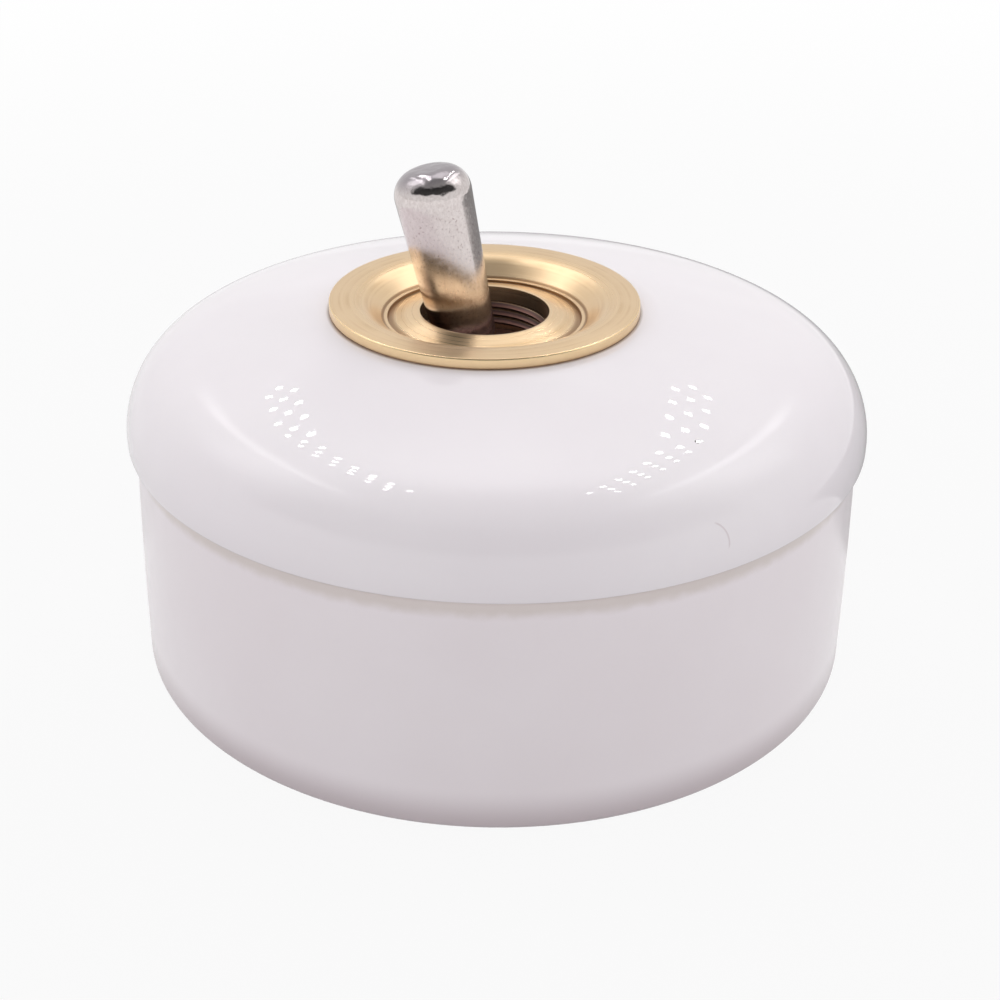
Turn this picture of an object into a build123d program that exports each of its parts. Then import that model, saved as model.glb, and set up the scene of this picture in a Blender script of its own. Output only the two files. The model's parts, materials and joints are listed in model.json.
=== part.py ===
from build123d import *
import os
from math import atan2, cos, degrees, radians, sin, sqrt, tan

# Surface switch of glazed porcelain. The origin is the middle of the base's back, +Z points out of the
# wall and the lever swings along X. All lengths are in millimetres, all angles in degrees.

# Cover
COVER_DIA = 70.0
COVER_WALL = 3.4
COVER_LIP_H = 0.4
COVER_LIP_ROUND = 0.15
SHOULDER_R = 7.5
CROWN_R = 114.0
LAND_DIA = 30.2
COVER_HOLE_PLAY = 0.2

# Base
BASE_H = 22.6
BASE_WALL = 5.65
BASE_DRAFT = 0.75
BASE_BULGE = 0.12
BASE_FOOT_ROUND = 0.5
BASE_TOP_ROUND = 0.8
LIP_OVERHANG = 0.85
SPIGOT_H = 1.5
SPIGOT_PLAY = 0.5
RIM_ROUND = 0.5
FLOOR_T = 4.5
FLOOR_CORNER_R = 2.0
BACK_RECESS = 1.5
BACK_RIM_W = 7.9
WALL_SCREW_INSET = 6.0
WALL_SCREW_HOLE_DIA = 4.6
WALL_SCREW_SINK_DIA = 8.8
CABLE_HOLE_DIA = 6.5
CABLE_HOLE_INSET = 7.1
CABLE_HOLE_ANGLE = 37.0

# Ring nut
NECK_X = -1.3
RING_DIA = 29.0
RING_FLANGE_T = 1.0
RING_EDGE = 0.18
RING_MOUTH_DIA = 22.8
RING_MOUTH_ROUND = 1.0
RING_DISH_DIA = 19.0
RING_DISH_DEPTH = 1.8
RING_LEDGE_W = 0.4
RING_LEDGE_STEP = 0.25
RING_COLLAR_RISE = 0.75
RING_COLLAR_LIP = 0.3
RING_BORE_DIA = 12.1
RING_HUB_WALL = 0.7
RING_HUB_H = 2.6
RING_SLEEVE_WALL = 1.7
RING_SLEEVE_DROP = 6.4

# Threaded bush
BUSH_WALL = 0.8
BUSH_THREAD_PLAY = 0.05
BUSH_ENGAGE = 1.8
BUSH_SEAT_W = 1.4
BUSH_SEAT_T = 0.6
BUSH_STAKE_W = 0.45
BUSH_STAKE_T = 0.25

# Bridge frame
BRIDGE_T = 1.0
BRIDGE_BEND_R = 1.2
BRIDGE_LEG_W = 11.0
BRIDGE_FOOT_L = 8.0

# Lever
LEVER_LEAN = 12.0
LEVER_REACH = 25.15
LEVER_TIP_DIA = 7.3
LEVER_TIP_ROUND = 2.3
LEVER_CROWN_RISE = 0.25
LEVER_SHANK_DIA = 5.7
LEVER_HUB_DIA = 5.4
LEVER_TAIL_DIA = 6.2
LEVER_STOP_PLAY = 0.1
PIVOT_PIN_DIA = 2.5
PIVOT_PIN_HEAD_DIA = 4.0
PIVOT_PIN_HEAD_T = 0.8
PIVOT_PIN_END = 1.3
PIVOT_GROOVE_DIA = 1.8
CLIP_DIA = 4.4
CLIP_T = 0.5
WASHER_DIA = 5.0
WASHER_T = 0.5

# Plunger and spring in the lever's tail
PLUNGER_DIA = 3.6
PLUNGER_NOSE_R = 1.4
PLUNGER_GUIDE_L = 2.6
PLUNGER_PROUD = 1.7
PLUNGER_GAP = 0.3
SPRING_WIRE_DIA = 0.4
SPRING_TURNS = 4
BORE_ROOF = 1.05

# Rocking contact
ROCKER_TILT = 8.0
ROCKER_WING_ANGLE = 11.0
ROCKER_END_ROOM = 2.2
ROCKER_W = 6.4
ROCKER_T = 0.7
ROCKER_CHEEK_L = 5.0
ROCKER_CHEEK_T = 0.6
ROCKER_STOP_PLAY = 0.12
FULCRUM_PIN_DIA = 1.6
FULCRUM_PIN_HEAD_DIA = 2.4
FULCRUM_PIN_HEAD_T = 0.5
FULCRUM_RISE = 2.0
ROCKER_SADDLE_H = 1.7

# Contact strips and terminals
STRIP_T = 0.8
STRIP_BEND_R = 0.9
EAR_L = 4.4
EAR_T = 0.8
EAR_PLAY = 0.2
COMMON_END = 4.0
STUD_DIA = 2.4
STUD_HEAD_T = 0.6
STUD_INSET = 1.3
STUD_GAP = 0.12
FIXED_STEP_L = 1.2
TERMINAL_INSET = 8.0
TERMINAL_L = 7.0
TERMINAL_W = 8.0
TERMINAL_H = 7.0
TERMINAL_EDGE = 0.4
WIRE_HOLE_DIA = 3.4

# Screws and nuts
SCREW_DIA = 2.9
SCREW_HEAD_DIA = 5.4
SCREW_HEAD_T = 1.7
SCREW_SLOT_W = 0.8
SCREW_SLOT_DEPTH = 0.8
NUT_FLATS = 5.5
NUT_T = 2.2
NUT_POCKET_PLAY = 0.2
TERMINAL_SCREW_BITE = 1.8

# Fits
FIT = 0.03
HOLE_PLAY = 0.2
SIDE_PLAY = 0.1
RUNNING_GAP = 0.3

# Places worked out from the sizes above
COVER_R = COVER_DIA / 2
BASE_TOP_R = COVER_R - LIP_OVERHANG
BASE_FOOT_R = BASE_TOP_R + BASE_DRAFT
BASE_BORE_R = BASE_TOP_R - BASE_WALL
SPIGOT_R = COVER_R - COVER_WALL - SPIGOT_PLAY
FLOOR_Z = BACK_RECESS + FLOOR_T
SHOULDER_Z = BASE_H + COVER_LIP_H
SHOULDER_CENTRE_R = COVER_R - SHOULDER_R
CROWN_CENTRE_Z = SHOULDER_Z - sqrt((CROWN_R - SHOULDER_R) ** 2 - SHOULDER_CENTRE_R ** 2)
SHOULDER_TURN = degrees(atan2(SHOULDER_Z - CROWN_CENTRE_Z, SHOULDER_CENTRE_R))
LAND_Z = CROWN_CENTRE_Z + sqrt(CROWN_R ** 2 - (LAND_DIA / 2) ** 2)

RING_TOP_Z = LAND_Z + RING_FLANGE_T
RING_CONE_W = (RING_MOUTH_DIA - RING_DISH_DIA) / 2
RING_HUB_R = RING_MOUTH_DIA / 2 - RING_CONE_W * RING_FLANGE_T / RING_DISH_DEPTH + RING_HUB_WALL
RING_SLEEVE_R = RING_BORE_DIA / 2 + RING_SLEEVE_WALL
RING_BOTTOM_Z = LAND_Z - RING_SLEEVE_DROP
COVER_HOLE_R = RING_HUB_R + abs(NECK_X) + COVER_HOLE_PLAY

BUSH_R = RING_BORE_DIA / 2 - BUSH_THREAD_PLAY
BUSH_TOP_Z = RING_BOTTOM_Z + BUSH_ENGAGE
BRIDGE_TOP_Z = RING_BOTTOM_Z - RUNNING_GAP - BUSH_SEAT_T
BRIDGE_UNDER_Z = BRIDGE_TOP_Z - BRIDGE_T
PIVOT_Z = BRIDGE_UNDER_Z - BUSH_STAKE_T - HOLE_PLAY - LEVER_HUB_DIA / 2
BUSH_BORE_R = (
    (BUSH_TOP_Z - PIVOT_Z) * tan(radians(LEVER_LEAN))
    + LEVER_SHANK_DIA / 2 / cos(radians(LEVER_LEAN))
    + LEVER_STOP_PLAY
)
BUSH_SPIGOT_R = BUSH_BORE_R + BUSH_WALL
BUSH_SEAT_R = BUSH_R + BUSH_SEAT_W
LEG_IN_Y = BUSH_SPIGOT_R + BUSH_STAKE_W + BRIDGE_BEND_R - BRIDGE_T / 2
LEG_OUT_Y = LEG_IN_Y + BRIDGE_T
LEG_MID_Y = LEG_IN_Y + BRIDGE_T / 2
BRIDGE_PLATE_W = 2 * BUSH_SEAT_R + 2 * HOLE_PLAY
HUB_HALF_W = LEG_IN_Y - WASHER_T - 2 * SIDE_PLAY
FOOT_SCREW_Y = LEG_OUT_Y + BRIDGE_FOOT_L / 2

FULCRUM_Z = FLOOR_Z + STRIP_T + FULCRUM_RISE
PLUNGER_REACH = PIVOT_Z - FULCRUM_Z - ROCKER_SADDLE_H - PLUNGER_GAP
TAIL_L = PLUNGER_REACH - PLUNGER_PROUD
BORE_ROOF_L = PIVOT_PIN_DIA / 2 + BORE_ROOF
BORE_R = PLUNGER_DIA / 2 + FIT
SPRING_TOP_L = PLUNGER_REACH - PLUNGER_PROUD - PLUNGER_GUIDE_L
EAR_Y = ROCKER_W / 2 + EAR_PLAY
COMMON_W = 2 * (EAR_Y + EAR_T)
CHEEK_DROP = (
    FULCRUM_RISE - ROCKER_STOP_PLAY - ROCKER_CHEEK_L / 2 * sin(radians(ROCKER_TILT))
) / cos(radians(ROCKER_TILT))
TERMINAL_X = BASE_BORE_R - TERMINAL_INSET
STRIP_OUTER_X = TERMINAL_X + TERMINAL_L / 2
STRIP_SCREW_X = TERMINAL_X - TERMINAL_L / 2 - SCREW_HEAD_DIA / 2 - HOLE_PLAY
ROCKER_WING_L = STRIP_SCREW_X - SCREW_HEAD_DIA / 2 - ROCKER_END_ROOM
STUD_X = ROCKER_WING_L - STUD_INSET
TERMINAL_Z = FLOOR_Z + STRIP_T
WIRE_HOLE_Z = TERMINAL_Z + TERMINAL_SCREW_BITE + WIRE_HOLE_DIA / 2 + HOLE_PLAY
NUT_POCKET_Z = BACK_RECESS + NUT_T + NUT_POCKET_PLAY

AT_NECK = Pos(NECK_X, 0, 0)


def polar(centre_r, centre_z, radius, angle):
    """Point of an arc in the half section, with the angle counted from the radial direction."""
    turn = radians(angle)
    return (centre_r + radius * cos(turn), centre_z + radius * sin(turn))


def turned(profile):
    """Solid of revolution about Z of a face drawn as (radius, height)."""
    return revolve(Plane.XZ * profile, Axis.Z)


def turned_outline(*points):
    """Solid of revolution about Z of a straight-sided outline."""
    return turned(make_face(Polyline(*points, close=True)))


def rod(diameter, low, high):
    """Round bar along Z between two heights."""
    return Pos(0, 0, (low + high) / 2) * Cylinder(diameter / 2, high - low)


def cross_rod(diameter, low, high):
    """Round bar along Y between two places."""
    return Rot(-90, 0, 0) * rod(diameter, low, high)


def corner(profile, x, y):
    """The profile's vertex nearest to a point."""
    return profile.vertices().sort_by_distance((x, y, 0))[0]


def porcelain_cover():
    inner_r = COVER_R - COVER_WALL
    inner_crown = CROWN_R - COVER_WALL
    inner_shoulder = SHOULDER_R - COVER_WALL
    land = (LAND_DIA / 2, LAND_Z)
    hole_top = (COVER_HOLE_R, LAND_Z)
    hole_under = (COVER_HOLE_R, CROWN_CENTRE_Z + sqrt(inner_crown ** 2 - COVER_HOLE_R ** 2))
    crown_end = polar(0, CROWN_CENTRE_Z, CROWN_R, SHOULDER_TURN)
    inner_end = polar(0, CROWN_CENTRE_Z, inner_crown, SHOULDER_TURN)
    crown_mid_r = (crown_end[0] + land[0]) / 2
    inner_mid_r = (inner_end[0] + COVER_HOLE_R) / 2
    crown_mid = (crown_mid_r, CROWN_CENTRE_Z + sqrt(CROWN_R ** 2 - crown_mid_r ** 2))
    inner_mid = (inner_mid_r, CROWN_CENTRE_Z + sqrt(inner_crown ** 2 - inner_mid_r ** 2))
    outline = [
        Polyline((inner_r, SHOULDER_Z), (inner_r, BASE_H), (COVER_R, BASE_H), (COVER_R, SHOULDER_Z)),
        ThreePointArc((COVER_R, SHOULDER_Z),
                      polar(SHOULDER_CENTRE_R, SHOULDER_Z, SHOULDER_R, SHOULDER_TURN / 2), crown_end),
        ThreePointArc(crown_end, crown_mid, land),
        Polyline(land, hole_top, hole_under),
        ThreePointArc(hole_under, inner_mid, inner_end),
        ThreePointArc(inner_end,
                      polar(SHOULDER_CENTRE_R, SHOULDER_Z, inner_shoulder, SHOULDER_TURN / 2),
                      (inner_r, SHOULDER_Z)),
    ]
    profile = make_face(outline)
    return turned(fillet(corner(profile, COVER_R, BASE_H), COVER_LIP_ROUND))


def porcelain_base():
    recess_r = BASE_FOOT_R - BACK_RIM_W
    rim_z = BASE_H + SPIGOT_H
    foot = (BASE_FOOT_R, 0)
    top = (BASE_TOP_R, BASE_H)
    belly = ((BASE_FOOT_R + BASE_TOP_R) / 2 + BASE_BULGE, BASE_H / 2)
    profile = make_face([
        Polyline(top, (SPIGOT_R, BASE_H), (SPIGOT_R, rim_z), (BASE_BORE_R, rim_z), (BASE_BORE_R, FLOOR_Z),
                 (0, FLOOR_Z), (0, BACK_RECESS), (recess_r, BACK_RECESS), (recess_r, 0), foot),
        ThreePointArc(foot, belly, top),
    ])
    profile = fillet(corner(profile, *foot), BASE_FOOT_ROUND)
    profile = fillet(corner(profile, *top), BASE_TOP_ROUND)
    profile = fillet(corner(profile, SPIGOT_R, rim_z), RIM_ROUND)
    profile = fillet(corner(profile, BASE_BORE_R, rim_z), RIM_ROUND)
    profile = fillet(corner(profile, BASE_BORE_R, FLOOR_Z), FLOOR_CORNER_R)
    base = turned(profile)
    for place in wall_screw_places():
        base -= place * rod(WALL_SCREW_HOLE_DIA, 0, BASE_H)
        sink_h = (WALL_SCREW_SINK_DIA - WALL_SCREW_HOLE_DIA) / 2
        sink = Cone(WALL_SCREW_HOLE_DIA / 2, WALL_SCREW_SINK_DIA / 2, sink_h)
        base -= place * Pos(0, 0, FLOOR_Z - sink_h / 2) * sink
    for place in cable_hole_places():
        base -= place * rod(CABLE_HOLE_DIA, 0, BASE_H)
    for place in floor_screw_places():
        base -= place * rod(SCREW_DIA + 2 * HOLE_PLAY, 0, BASE_H)
        base -= place * nut_prism(NUT_FLATS + 2 * NUT_POCKET_PLAY, 0, NUT_POCKET_Z)
    for place in terminal_places():
        base -= place * rod(SCREW_DIA + 2 * HOLE_PLAY, 0, BASE_H)
        base -= place * rod(SCREW_HEAD_DIA + 2 * HOLE_PLAY, 0, BACK_RECESS + SCREW_HEAD_T + HOLE_PLAY)
    return base


def wall_screw_places():
    reach = BASE_BORE_R - WALL_SCREW_INSET
    return [Pos(0, side * reach, 0) for side in (-1, 1)]


def cable_hole_places():
    reach = BASE_BORE_R - CABLE_HOLE_INSET
    angles = (CABLE_HOLE_ANGLE, 180 - CABLE_HOLE_ANGLE)
    return [Pos(reach * cos(radians(angle)), reach * sin(radians(angle)), 0) for angle in angles]


def foot_screw_places():
    return [Pos(NECK_X, side * FOOT_SCREW_Y, 0) for side in (-1, 1)]


def strip_screw_places():
    return [Pos(NECK_X + side * STRIP_SCREW_X, 0, 0) for side in (-1, 1)]


def floor_screw_places():
    return foot_screw_places() + strip_screw_places()


def terminal_places():
    return [Pos(NECK_X + side * TERMINAL_X, 0, 0) for side in (-1, 1)]


def nut_prism(flats, low, high):
    """Six-sided bar along Z with the given width across its flats."""
    hexagon = RegularPolygon(flats / 2, 6, major_radius=False)
    return Pos(0, 0, low) * extrude(hexagon, high - low)


def slotted_screw(seat, tip):
    """Cheese-head screw with its head's seat and its tip at the given heights."""
    up = 1 if seat > tip else -1
    head_end = seat + up * SCREW_HEAD_T
    screw = rod(SCREW_HEAD_DIA, min(seat, head_end), max(seat, head_end))
    screw += rod(SCREW_DIA, min(seat, tip), max(seat, tip))
    slot = Box(SCREW_SLOT_W, SCREW_HEAD_DIA, 2 * SCREW_SLOT_DEPTH)
    return screw - Pos(0, 0, head_end) * slot


def ring_nut():
    mouth_r = RING_MOUTH_DIA / 2
    dish_r = RING_DISH_DIA / 2
    bore_r = RING_BORE_DIA / 2
    rim_r = RING_DIA / 2
    dish_z = RING_TOP_Z - RING_DISH_DEPTH
    groove_z = dish_z - RING_LEDGE_STEP
    collar_z = groove_z + RING_COLLAR_RISE
    hub_z = LAND_Z - RING_HUB_H
    profile = make_face(Polyline(
        (bore_r, RING_BOTTOM_Z), (bore_r, collar_z), (bore_r + RING_COLLAR_LIP, collar_z),
        (dish_r - RING_LEDGE_W, groove_z), (dish_r - RING_LEDGE_W, dish_z), (dish_r, dish_z),
        (mouth_r, RING_TOP_Z), (rim_r, RING_TOP_Z), (rim_r, LAND_Z), (RING_HUB_R, LAND_Z),
        (RING_HUB_R, hub_z), (RING_SLEEVE_R, hub_z), (RING_SLEEVE_R, RING_BOTTOM_Z), close=True))
    profile = fillet(corner(profile, mouth_r, RING_TOP_Z), RING_MOUTH_ROUND)
    profile = fillet(corner(profile, rim_r, RING_TOP_Z), RING_EDGE)
    profile = fillet(corner(profile, rim_r, LAND_Z), RING_EDGE)
    return AT_NECK * turned(profile)


def threaded_bush():
    stake_z = BRIDGE_UNDER_Z - BUSH_STAKE_T
    stake_r = BUSH_SPIGOT_R + BUSH_STAKE_W
    seat_z = BRIDGE_TOP_Z + BUSH_SEAT_T
    return AT_NECK * turned_outline(
        (BUSH_BORE_R, stake_z), (stake_r, stake_z), (stake_r, BRIDGE_UNDER_Z),
        (BUSH_SPIGOT_R, BRIDGE_UNDER_Z), (BUSH_SPIGOT_R, BRIDGE_TOP_Z), (BUSH_SEAT_R, BRIDGE_TOP_Z),
        (BUSH_SEAT_R, seat_z), (BUSH_R, seat_z), (BUSH_R, BUSH_TOP_Z), (BUSH_BORE_R, BUSH_TOP_Z))


def folded_strip(width, thickness, bend, points):
    """Sheet strip swept along its folded middle line, which starts on the level."""
    path = FilletPolyline(*points, radius=bend)
    across = (path % 0).cross(Vector(0, 0, 1))
    section = Plane(origin=path @ 0, x_dir=across, z_dir=path % 0) * Rectangle(width, thickness)
    return sweep(section, path)


def bridge_frame():
    foot_end_y = LEG_OUT_Y + BRIDGE_FOOT_L
    foot_z = FLOOR_Z + BRIDGE_T / 2
    plate_z = BRIDGE_TOP_Z - BRIDGE_T / 2
    strap = folded_strip(BRIDGE_PLATE_W, BRIDGE_T, BRIDGE_BEND_R, [
        (0, -foot_end_y, foot_z), (0, -LEG_MID_Y, foot_z), (0, -LEG_MID_Y, plate_z),
        (0, LEG_MID_Y, plate_z), (0, LEG_MID_Y, foot_z), (0, foot_end_y, foot_z)])
    trim_h = BRIDGE_UNDER_Z - BRIDGE_BEND_R - FLOOR_Z + BRIDGE_T / 2
    trim = Box(BRIDGE_PLATE_W, 2 * foot_end_y, trim_h, align=(Align.MIN, Align.CENTER, Align.MIN))
    for side in (0, 180):
        strap -= Rot(0, 0, side) * Pos(BRIDGE_LEG_W / 2, 0, FLOOR_Z) * trim
    strap -= rod(2 * (BUSH_SPIGOT_R + FIT), BRIDGE_UNDER_Z - BRIDGE_T, BRIDGE_TOP_Z + BRIDGE_T)
    strap -= Pos(0, 0, PIVOT_Z) * cross_rod(PIVOT_PIN_DIA + FIT, -foot_end_y, foot_end_y)
    for side in (-1, 1):
        hole = rod(SCREW_DIA + 2 * HOLE_PLAY, FLOOR_Z, FLOOR_Z + BRIDGE_T)
        strap -= Pos(0, side * FOOT_SCREW_Y, 0) * hole
    return AT_NECK * strap


def pivot_pin():
    end_y = LEG_OUT_Y + SIDE_PLAY + CLIP_T + PIVOT_PIN_END
    pin = cross_rod(PIVOT_PIN_DIA, -LEG_OUT_Y, end_y)
    pin += cross_rod(PIVOT_PIN_HEAD_DIA, -LEG_OUT_Y - PIVOT_PIN_HEAD_T, -LEG_OUT_Y)
    groove = cross_rod(PIVOT_PIN_DIA, LEG_OUT_Y + SIDE_PLAY, LEG_OUT_Y + SIDE_PLAY + CLIP_T)
    groove -= cross_rod(PIVOT_GROOVE_DIA, LEG_OUT_Y, end_y)
    return AT_NECK * Pos(0, 0, PIVOT_Z) * (pin - groove)


def pivot_clip():
    low = LEG_OUT_Y + SIDE_PLAY
    clip = cross_rod(CLIP_DIA, low, low + CLIP_T) - cross_rod(PIVOT_GROOVE_DIA, low, low + CLIP_T)
    mouth = Box(PIVOT_GROOVE_DIA, 2 * CLIP_T, CLIP_DIA, align=(Align.CENTER, Align.CENTER, Align.MAX))
    return AT_NECK * Pos(0, 0, PIVOT_Z) * (clip - Pos(0, low + CLIP_T / 2, 0) * mouth)


def pivot_washers():
    low = HUB_HALF_W + SIDE_PLAY
    washer = cross_rod(WASHER_DIA, low, low + WASHER_T)
    washer -= cross_rod(PIVOT_PIN_DIA + 2 * FIT, low, low + WASHER_T)
    pivot = AT_NECK * Pos(0, 0, PIVOT_Z)
    return Compound(children=[pivot * Rot(0, 0, side) * washer for side in (0, 180)])


def on_lever(shape):
    """Put a piece drawn upright about the lever's pivot at the lever's leaning rest."""
    return AT_NECK * Pos(0, 0, PIVOT_Z) * Rot(0, -LEVER_LEAN, 0) * shape


def toggle_lever():
    tip_r = LEVER_TIP_DIA / 2
    shank_r = LEVER_SHANK_DIA / 2
    shank_l = BUSH_TOP_Z - PIVOT_Z
    crown_edge = LEVER_REACH - LEVER_CROWN_RISE
    crown = ThreePointArc(
        (-tip_r, crown_edge), (0, LEVER_REACH), (tip_r, crown_edge)).trim(0.5, 1)
    sides = Polyline((tip_r, crown_edge), (shank_r, shank_l), (shank_r, 0), (0, 0), (0, LEVER_REACH))
    profile = make_face([crown, sides])
    profile = fillet(corner(profile, tip_r, crown_edge), LEVER_TIP_ROUND)
    lever = turned(profile)
    lever += cross_rod(LEVER_HUB_DIA, -HUB_HALF_W, HUB_HALF_W)
    lever += rod(LEVER_TAIL_DIA, -TAIL_L, 0)
    lever -= rod(2 * BORE_R, -TAIL_L, -BORE_ROOF_L)
    lever -= cross_rod(PIVOT_PIN_DIA + 2 * FIT, -HUB_HALF_W, HUB_HALF_W)
    return on_lever(lever)


def plunger():
    guide = rod(PLUNGER_DIA, -TAIL_L, -SPRING_TOP_L)
    neck = rod(2 * PLUNGER_NOSE_R, -PLUNGER_REACH + PLUNGER_NOSE_R, -TAIL_L)
    nose = Pos(0, 0, -PLUNGER_REACH + PLUNGER_NOSE_R) * Sphere(PLUNGER_NOSE_R)
    return on_lever(guide + neck + nose)


def plunger_spring():
    wire_r = SPRING_WIRE_DIA / 2
    coil_r = PLUNGER_DIA / 2 - wire_r - HOLE_PLAY
    low = -SPRING_TOP_L + wire_r + FIT
    high = -BORE_ROOF_L - wire_r - FIT
    path = Helix((high - low) / SPRING_TURNS, high - low, coil_r)
    section = Plane(origin=path @ 0, z_dir=path % 0) * Circle(wire_r)
    return on_lever(Pos(0, 0, low) * sweep(section, path))


def on_rocker(shape):
    """Put a piece drawn level about the fulcrum at the rocker's tilted rest."""
    return AT_NECK * Pos(0, 0, FULCRUM_Z) * Rot(0, ROCKER_TILT, 0) * shape


def rocker_contact():
    rise = ROCKER_WING_L * tan(radians(ROCKER_WING_ANGLE))
    depth = ROCKER_T / cos(radians(ROCKER_WING_ANGLE))
    under = ROCKER_SADDLE_H - depth
    wings = make_face(Polyline(
        (0, ROCKER_SADDLE_H), (ROCKER_WING_L, ROCKER_SADDLE_H + rise), (ROCKER_WING_L, under + rise),
        (0, under), (-ROCKER_WING_L, under + rise), (-ROCKER_WING_L, ROCKER_SADDLE_H + rise), close=True))
    half_cheek = ROCKER_CHEEK_L / 2
    cheek_rise = half_cheek * tan(radians(ROCKER_WING_ANGLE))
    cheek = make_face(Polyline(
        (0, under), (half_cheek, under + cheek_rise), (half_cheek, -CHEEK_DROP),
        (-half_cheek, -CHEEK_DROP), (-half_cheek, under + cheek_rise), close=True))
    rocker = extrude(Plane.XZ * wings, ROCKER_W / 2, both=True)
    for side in (-1, 1):
        middle = side * (ROCKER_W - ROCKER_CHEEK_T) / 2
        rocker += Pos(0, middle, 0) * extrude(Plane.XZ * cheek, ROCKER_CHEEK_T / 2, both=True)
    rocker -= cross_rod(FULCRUM_PIN_DIA + 2 * FIT, -ROCKER_W, ROCKER_W)
    rocker -= rocker_stud_place() * rod(STUD_DIA / 2, -ROCKER_T, 2 * ROCKER_T)
    return on_rocker(rocker)


def rocker_stud_place():
    """Middle of the stud's head seat under the rocker's right wing, in the rocker's level frame."""
    depth = ROCKER_T / cos(radians(ROCKER_WING_ANGLE))
    height = ROCKER_SADDLE_H - depth + STUD_X * tan(radians(ROCKER_WING_ANGLE))
    return Pos(STUD_X, 0, height) * Rot(0, -ROCKER_WING_ANGLE, 0)


def rocker_stud():
    stud = rod(STUD_DIA, -STUD_HEAD_T, 0)
    stud += rod(STUD_DIA / 2, 0, ROCKER_T)
    return on_rocker(rocker_stud_place() * stud)


def stud_underside():
    """Lowest place of the rocker's stud at rest, counted from the neck's axis and the back."""
    place = Pos(0, 0, FULCRUM_Z) * Rot(0, ROCKER_TILT, 0) * rocker_stud_place() * Pos(0, 0, -STUD_HEAD_T)
    slope = radians(ROCKER_WING_ANGLE - ROCKER_TILT)
    return place.position.X, place.position.Z - STUD_DIA / 2 * abs(sin(slope))


def fulcrum_bracket():
    length = STRIP_OUTER_X + COMMON_END
    strip = Box(length, COMMON_W, STRIP_T, align=(Align.MIN, Align.CENTER, Align.MIN))
    bracket = Pos(-STRIP_OUTER_X, 0, FLOOR_Z) * strip
    ear_h = STRIP_T + FULCRUM_RISE
    ear = Box(EAR_L, EAR_T, ear_h, align=(Align.CENTER, Align.MIN, Align.MIN))
    ear += Pos(0, EAR_T / 2, ear_h) * cross_rod(EAR_L, -EAR_T / 2, EAR_T / 2)
    for side in (0, 180):
        bracket += Rot(0, 0, side) * Pos(0, EAR_Y, FLOOR_Z) * ear
    bracket -= Pos(0, 0, FULCRUM_Z) * cross_rod(FULCRUM_PIN_DIA + FIT, -COMMON_W, COMMON_W)
    for reach in (STRIP_SCREW_X, TERMINAL_X):
        bracket -= Pos(-reach, 0, 0) * rod(SCREW_DIA + 2 * HOLE_PLAY, FLOOR_Z, FLOOR_Z + STRIP_T)
    return AT_NECK * bracket


def fulcrum_pin():
    half = COMMON_W / 2
    pin = cross_rod(FULCRUM_PIN_DIA, -half, half)
    for side in (0, 180):
        pin += Rot(0, 0, side) * cross_rod(FULCRUM_PIN_HEAD_DIA, half, half + FULCRUM_PIN_HEAD_T)
    return AT_NECK * Pos(0, 0, FULCRUM_Z) * pin


def fixed_stud_seat():
    """Place of the fixed stud on top of its strip, counted from the neck's axis and the back."""
    stud_x, stud_z = stud_underside()
    return stud_x, stud_z - STUD_GAP - STUD_HEAD_T


def fixed_strip():
    stud_x, seat_z = fixed_stud_seat()
    step_z = seat_z - STRIP_T / 2
    lay_z = FLOOR_Z + STRIP_T / 2
    riser_x = stud_x + STUD_DIA / 2 + FIXED_STEP_L / 2
    strip = folded_strip(ROCKER_W, STRIP_T, STRIP_BEND_R, [
        (stud_x - STUD_DIA / 2 - FIXED_STEP_L / 2, 0, step_z), (riser_x, 0, step_z),
        (riser_x, 0, lay_z), (STRIP_OUTER_X, 0, lay_z)])
    strip -= Pos(stud_x, 0, 0) * rod(STUD_DIA / 2, FLOOR_Z, seat_z)
    for reach in (STRIP_SCREW_X, TERMINAL_X):
        strip -= Pos(reach, 0, 0) * rod(SCREW_DIA + 2 * HOLE_PLAY, FLOOR_Z, FLOOR_Z + STRIP_T)
    return AT_NECK * strip


def fixed_stud():
    stud_x, seat_z = fixed_stud_seat()
    stud = rod(STUD_DIA, seat_z, seat_z + STUD_HEAD_T) + rod(STUD_DIA / 2, seat_z - STRIP_T, seat_z)
    return AT_NECK * Pos(stud_x, 0, 0) * stud


def terminal_block(place):
    block = Box(TERMINAL_L, TERMINAL_W, TERMINAL_H, align=(Align.CENTER, Align.CENTER, Align.MIN))
    block = chamfer(block.edges().filter_by(Axis.Z), TERMINAL_EDGE)
    block = Pos(0, 0, TERMINAL_Z) * block
    block -= Pos(0, 0, WIRE_HOLE_Z) * cross_rod(WIRE_HOLE_DIA, -TERMINAL_W, TERMINAL_W)
    block -= rod(SCREW_DIA + 2 * FIT, WIRE_HOLE_Z, TERMINAL_Z + TERMINAL_H)
    block -= rod(SCREW_DIA + 2 * FIT, TERMINAL_Z, TERMINAL_Z + TERMINAL_SCREW_BITE)
    return place * block


def clamp_screws():
    seat = TERMINAL_Z + TERMINAL_H
    return Compound(children=[place * slotted_screw(seat, WIRE_HOLE_Z) for place in terminal_places()])


def terminal_screws():
    seat = BACK_RECESS + SCREW_HEAD_T + HOLE_PLAY
    tip = TERMINAL_Z + TERMINAL_SCREW_BITE
    return Compound(children=[place * slotted_screw(seat, tip) for place in terminal_places()])


def floor_screws():
    tip = BACK_RECESS
    screws = [place * slotted_screw(FLOOR_Z + BRIDGE_T, tip) for place in foot_screw_places()]
    screws += [place * slotted_screw(FLOOR_Z + STRIP_T, tip) for place in strip_screw_places()]
    return Compound(children=screws)


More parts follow.
